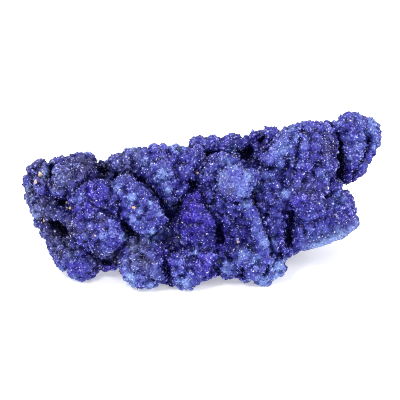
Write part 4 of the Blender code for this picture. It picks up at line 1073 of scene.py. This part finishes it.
def crust(name, kind, count, width, seed):
    """Crystals of one kind over the body, as one joined mesh with a map of their tones, tints and dust."""
    chance = np.random.default_rng(seed)
    corners, faces = crystal(kind)
    spots, facings, nearest = scattered(body.data, count, chance)
    size = chance.lognormal(math.log(width), crystal_size_spread, count)
    size = np.clip(size, least_size * width, greatest_size * width)
    size *= 1 - 0.35 * closed[nearest] - 0.25 * np.clip(cleft[nearest], 0, 0.5)
    size *= 1 - 0.6 * worn[nearest]
    stretch = chance.uniform(0.75, 1.3, (count, 1, 3))
    turns = random_turns(facings, most_lean, chance)
    middles = spots + facings * (size * chance.uniform(*sunk_depth, count))[:, None]
    grown = corners[None] * stretch * size[:, None, None]
    solid = np.einsum("nij,nvj->nvi", turns, grown) + middles[:, None]
    solid[:, :, 2] = np.maximum(solid[:, :, 2], 0.02 * MM)
    mesh = joined(name, solid, faces)
    # A crystal takes the tone of the body where it stands, painted shade and painted highlight included, with
    # a spread of its own.
    light = np.clip(0.85 * (tone[nearest] + chance.normal(0, tone_spread, count)), 0.02, 0.84)
    lean = np.clip(tint[nearest] + chance.normal(0, tint_spread, count), 0.03, 0.97)
    # Painted glints: small crystals in the open are given the near-white tone.
    painted_glints = chance.random(count) < painted_glint_share * (1 - closed[nearest])
    light[painted_glints & (size < painted_glint_size)] = painted_glint_tone
    dusty = chance.random(count) < dull[nearest]

    # On the map, a crystal's tone is read across, and its tint up the lower half, or the upper if dusty.
    spot = np.stack([light, lean / 2 + dusty / 2], 1)
    face_on_map = np.array([(-0.006, -0.005), (0.006, -0.005), (0.0, 0.006)])
    shade = np.broadcast_to(spot[:, None, None] + face_on_map, (count, len(faces), 3, 2))
    layer = mesh.uv_layers.new(name="OFBake")
    layer.uv.foreach_set("vector", shade.astype(np.float32).ravel())
    mesh.materials.append(druse_material)
    piece = placed(name, mesh)
    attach(piece, "root")


druse_material, nodes, links, colour = stone_material("azurite crystals", 0.10, 0.5)
own_map = nodes.new("ShaderNodeUVMap")
own_map.uv_map = "OFBake"
place_on_map = nodes.new("ShaderNodeSeparateXYZ")
links.new(own_map.outputs["UV"], place_on_map.inputs["Vector"])
links.new(place_on_map.outputs["X"], colour.inputs["Tone"])
doubled = worked_out(nodes, links, "MULTIPLY", place_on_map.outputs["Y"], 2)
links.new(worked_out(nodes, links, "FRACT", doubled), colour.inputs["Tint"])
links.new(worked_out(nodes, links, "GREATER_THAN", place_on_map.outputs["Y"], 0.5), colour.inputs["Dust"])
crust("blocky_crystals", "blocky", 12500, 0.42 * MM, 21)
crust("more_blocky_crystals", "blocky", 12500, 0.34 * MM, 22)
crust("wedge_crystals", "wedge", 18000, 0.36 * MM, 23)
crust("pointed_crystals", "pointed", 18000, 0.34 * MM, 24)
crust("splinters", "splinter", 45000, 0.30 * MM, 25)

# ---- Foreign grains ----
# A few grains of ochre, tan and cream matrix, each about a millimetre across or less, caught among the
# crystals that grew round them.

# Those of the display side: across, rise and radius in millimetres.
grain_places = [
    (-13.0, -1.4, 0.42), (7.4, -8.2, 0.30), (-25.6, -1.6, 0.42), (-31.6, 5.2, 0.50), (-32.6, 3.6, 0.46),
    (-17.0, -12.2, 0.36), (-0.4, 5.4, 0.30), (-31.0, -4.0, 0.28), (-26.4, -0.4, 0.28), (-20.6, -7.0, 0.22),
]
far_tries = 40
chance = np.random.default_rng(31)
grains = bmesh.new()


def add_grain(place, facing, radius):
    """A rough grain that stands half out of the crust."""
    made = bmesh.ops.create_icosphere(grains, subdivisions=2, radius=radius)
    start = Vector(chance.uniform(0, 50, 3))
    squash = Vector(chance.uniform(0.55, 1.0, 3))
    for corner in made["verts"]:
        corner.co *= 1 + 0.8 * noise.noise(corner.co / radius * 1.3 + start)
        corner.co *= squash
    bmesh.ops.translate(grains, vec=Vector(place) + Vector(facing) * radius * 0.45, verts=made["verts"])


for across, rise, radius in grain_places:
    found = on_display_side(body_tree, across, rise)
    if found:
        add_grain(*found, radius * MM)
spots, facings, _ = scattered(body.data, far_tries, chance)
for spot, facing in zip(spots, facings):
    on_far_side = facing[1] > 0.2 and spot[1] > 3 * MM
    if on_far_side:
        add_grain(spot, facing, chance.uniform(0.2, 0.4) * MM)
grain_piece = placed("foreign_grains", mesh_of("foreign_grains", grains))
matrix_material = bpy.data.materials.new("ochre and cream grains")
matrix_material.use_nodes = True
nodes, links = matrix_material.node_tree.nodes, matrix_material.node_tree.links
shader = nodes["Principled BSDF"]
shader.inputs["Roughness"].default_value = 0.55
seat = nodes.new("ShaderNodeTexCoord")
cloud = nodes.new("ShaderNodeTexNoise")
cloud.inputs["Scale"].default_value = 240
cloud.inputs["Detail"].default_value = 2
ramp = nodes.new("ShaderNodeValToRGB")
stops = ramp.color_ramp.elements
stops[0].position, stops[0].color = 0.36, (0.62, 0.30, 0.09, 1)
stops[1].position, stops[1].color = 0.62, (0.60, 0.50, 0.45, 1)
links.new(seat.outputs["Object"], cloud.inputs["Vector"])
links.new(cloud.outputs["Fac"], ramp.inputs["Fac"])
links.new(ramp.outputs["Color"], shader.inputs["Base Color"])
grain_piece.data.materials.append(matrix_material)
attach(grain_piece, "root")

# ---- Studio ----
# A white sweep, soft boxes above and to both sides, and the camera on the display side.

floor_shape = bmesh.new()
bmesh.ops.create_grid(floor_shape, x_segments=1, y_segments=1, size=3)
floor = placed("floor", mesh_of("floor", floor_shape))
floor_material = bpy.data.materials.new("white sweep")
floor_material.use_nodes = True
nodes, links = floor_material.node_tree.nodes, floor_material.node_tree.links
shader = nodes["Principled BSDF"]
shader.inputs["Base Color"].default_value = (0.84, 0.84, 0.84, 1)
shader.inputs["Roughness"].default_value = 0.9
shader.inputs["Specular IOR Level"].default_value = 0.1
shader.inputs["Emission Color"].default_value = (1, 1, 1, 1)
path = nodes.new("ShaderNodeLightPath")
bounce = nodes.new("ShaderNodeMapRange")
bounce.inputs["To Min"].default_value, bounce.inputs["To Max"].default_value = 0.36, 0.95
links.new(path.outputs["Is Diffuse Ray"], bounce.inputs["Value"])
links.new(bounce.outputs["Result"], shader.inputs["Emission Strength"])
floor.data.materials.append(floor_material)
floor.visible_glossy = False

# The lamps all face the stone: place and size in metres, and watts.
for name, place, size, watts in (
    ("key box", (-0.20, -0.28, 0.42), 0.15, 1.55),
    ("right box", (0.36, -0.16, 0.30), 0.13, 0.75),
    ("top box", (0.05, 0.12, 0.50), 0.20, 1.00),
    ("front box", (0.08, -0.48, 0.20), 0.08, 0.28),
    ("left spark", (-0.42, -0.10, 0.22), 0.07, 0.26),
    ("high spark", (0.10, -0.40, 0.40), 0.08, 0.40),
    ("left rim box", (-0.38, 0.14, 0.10), 0.12, 0.55),
    ("right rim box", (0.40, 0.16, 0.14), 0.12, 0.55),
):
    lamp = bpy.data.lights.new(name, "AREA")
    lamp.size = size
    lamp.energy = watts
    stand = placed(name, lamp)
    stand.location = Vector(place)
    stand.rotation_euler = (Vector(place) - display_origin).to_track_quat("Z", "Y").to_euler()

# The room glows more behind the stone than before it, and by how much depends on the kind of ray.
world = bpy.data.worlds.new("studio")
world.use_nodes = True
nodes, links = world.node_tree.nodes, world.node_tree.links
sky = nodes["Background"]
sky.inputs["Color"].default_value = (1, 1, 1, 1)
path = nodes.new("ShaderNodeLightPath")
way = nodes.new("ShaderNodeTexCoord")
split = nodes.new("ShaderNodeSeparateXYZ")
links.new(way.outputs["Generated"], split.inputs["Vector"])
glow = 0
for kind, before, behind in (
    ("Is Glossy Ray", 0.03, 0.45), ("Is Diffuse Ray", 0.42, 1.20), ("Is Camera Ray", 1.0, 1.0),
):
    backdrop = nodes.new("ShaderNodeMapRange")
    backdrop.inputs["From Min"].default_value, backdrop.inputs["From Max"].default_value = -0.1, 0.8
    backdrop.inputs["To Min"].default_value, backdrop.inputs["To Max"].default_value = before, behind
    links.new(split.outputs["Y"], backdrop.inputs["Value"])
    glow = worked_out(nodes, links, "MULTIPLY_ADD", path.outputs[kind], backdrop.outputs["Result"], glow)
links.new(glow, sky.inputs["Strength"])
scene = bpy.context.scene
scene.world = world
scene.cycles.filter_width = 1.0
scene.cycles.denoising_prefilter = "NONE"
scene.view_settings.view_transform = "Standard"

camera_distance = 0.5
frame_width = 80 * MM
camera_data = bpy.data.cameras.new("camera")
camera_data.lens = camera_data.sensor_width * camera_distance / frame_width
camera_data.clip_start = 0.01
camera = placed("camera", camera_data)
camera.location = display_origin + toward_axis * camera_distance
camera.rotation_euler = (math.pi / 2 - display_tilt, 0, 0)
scene.camera = camera
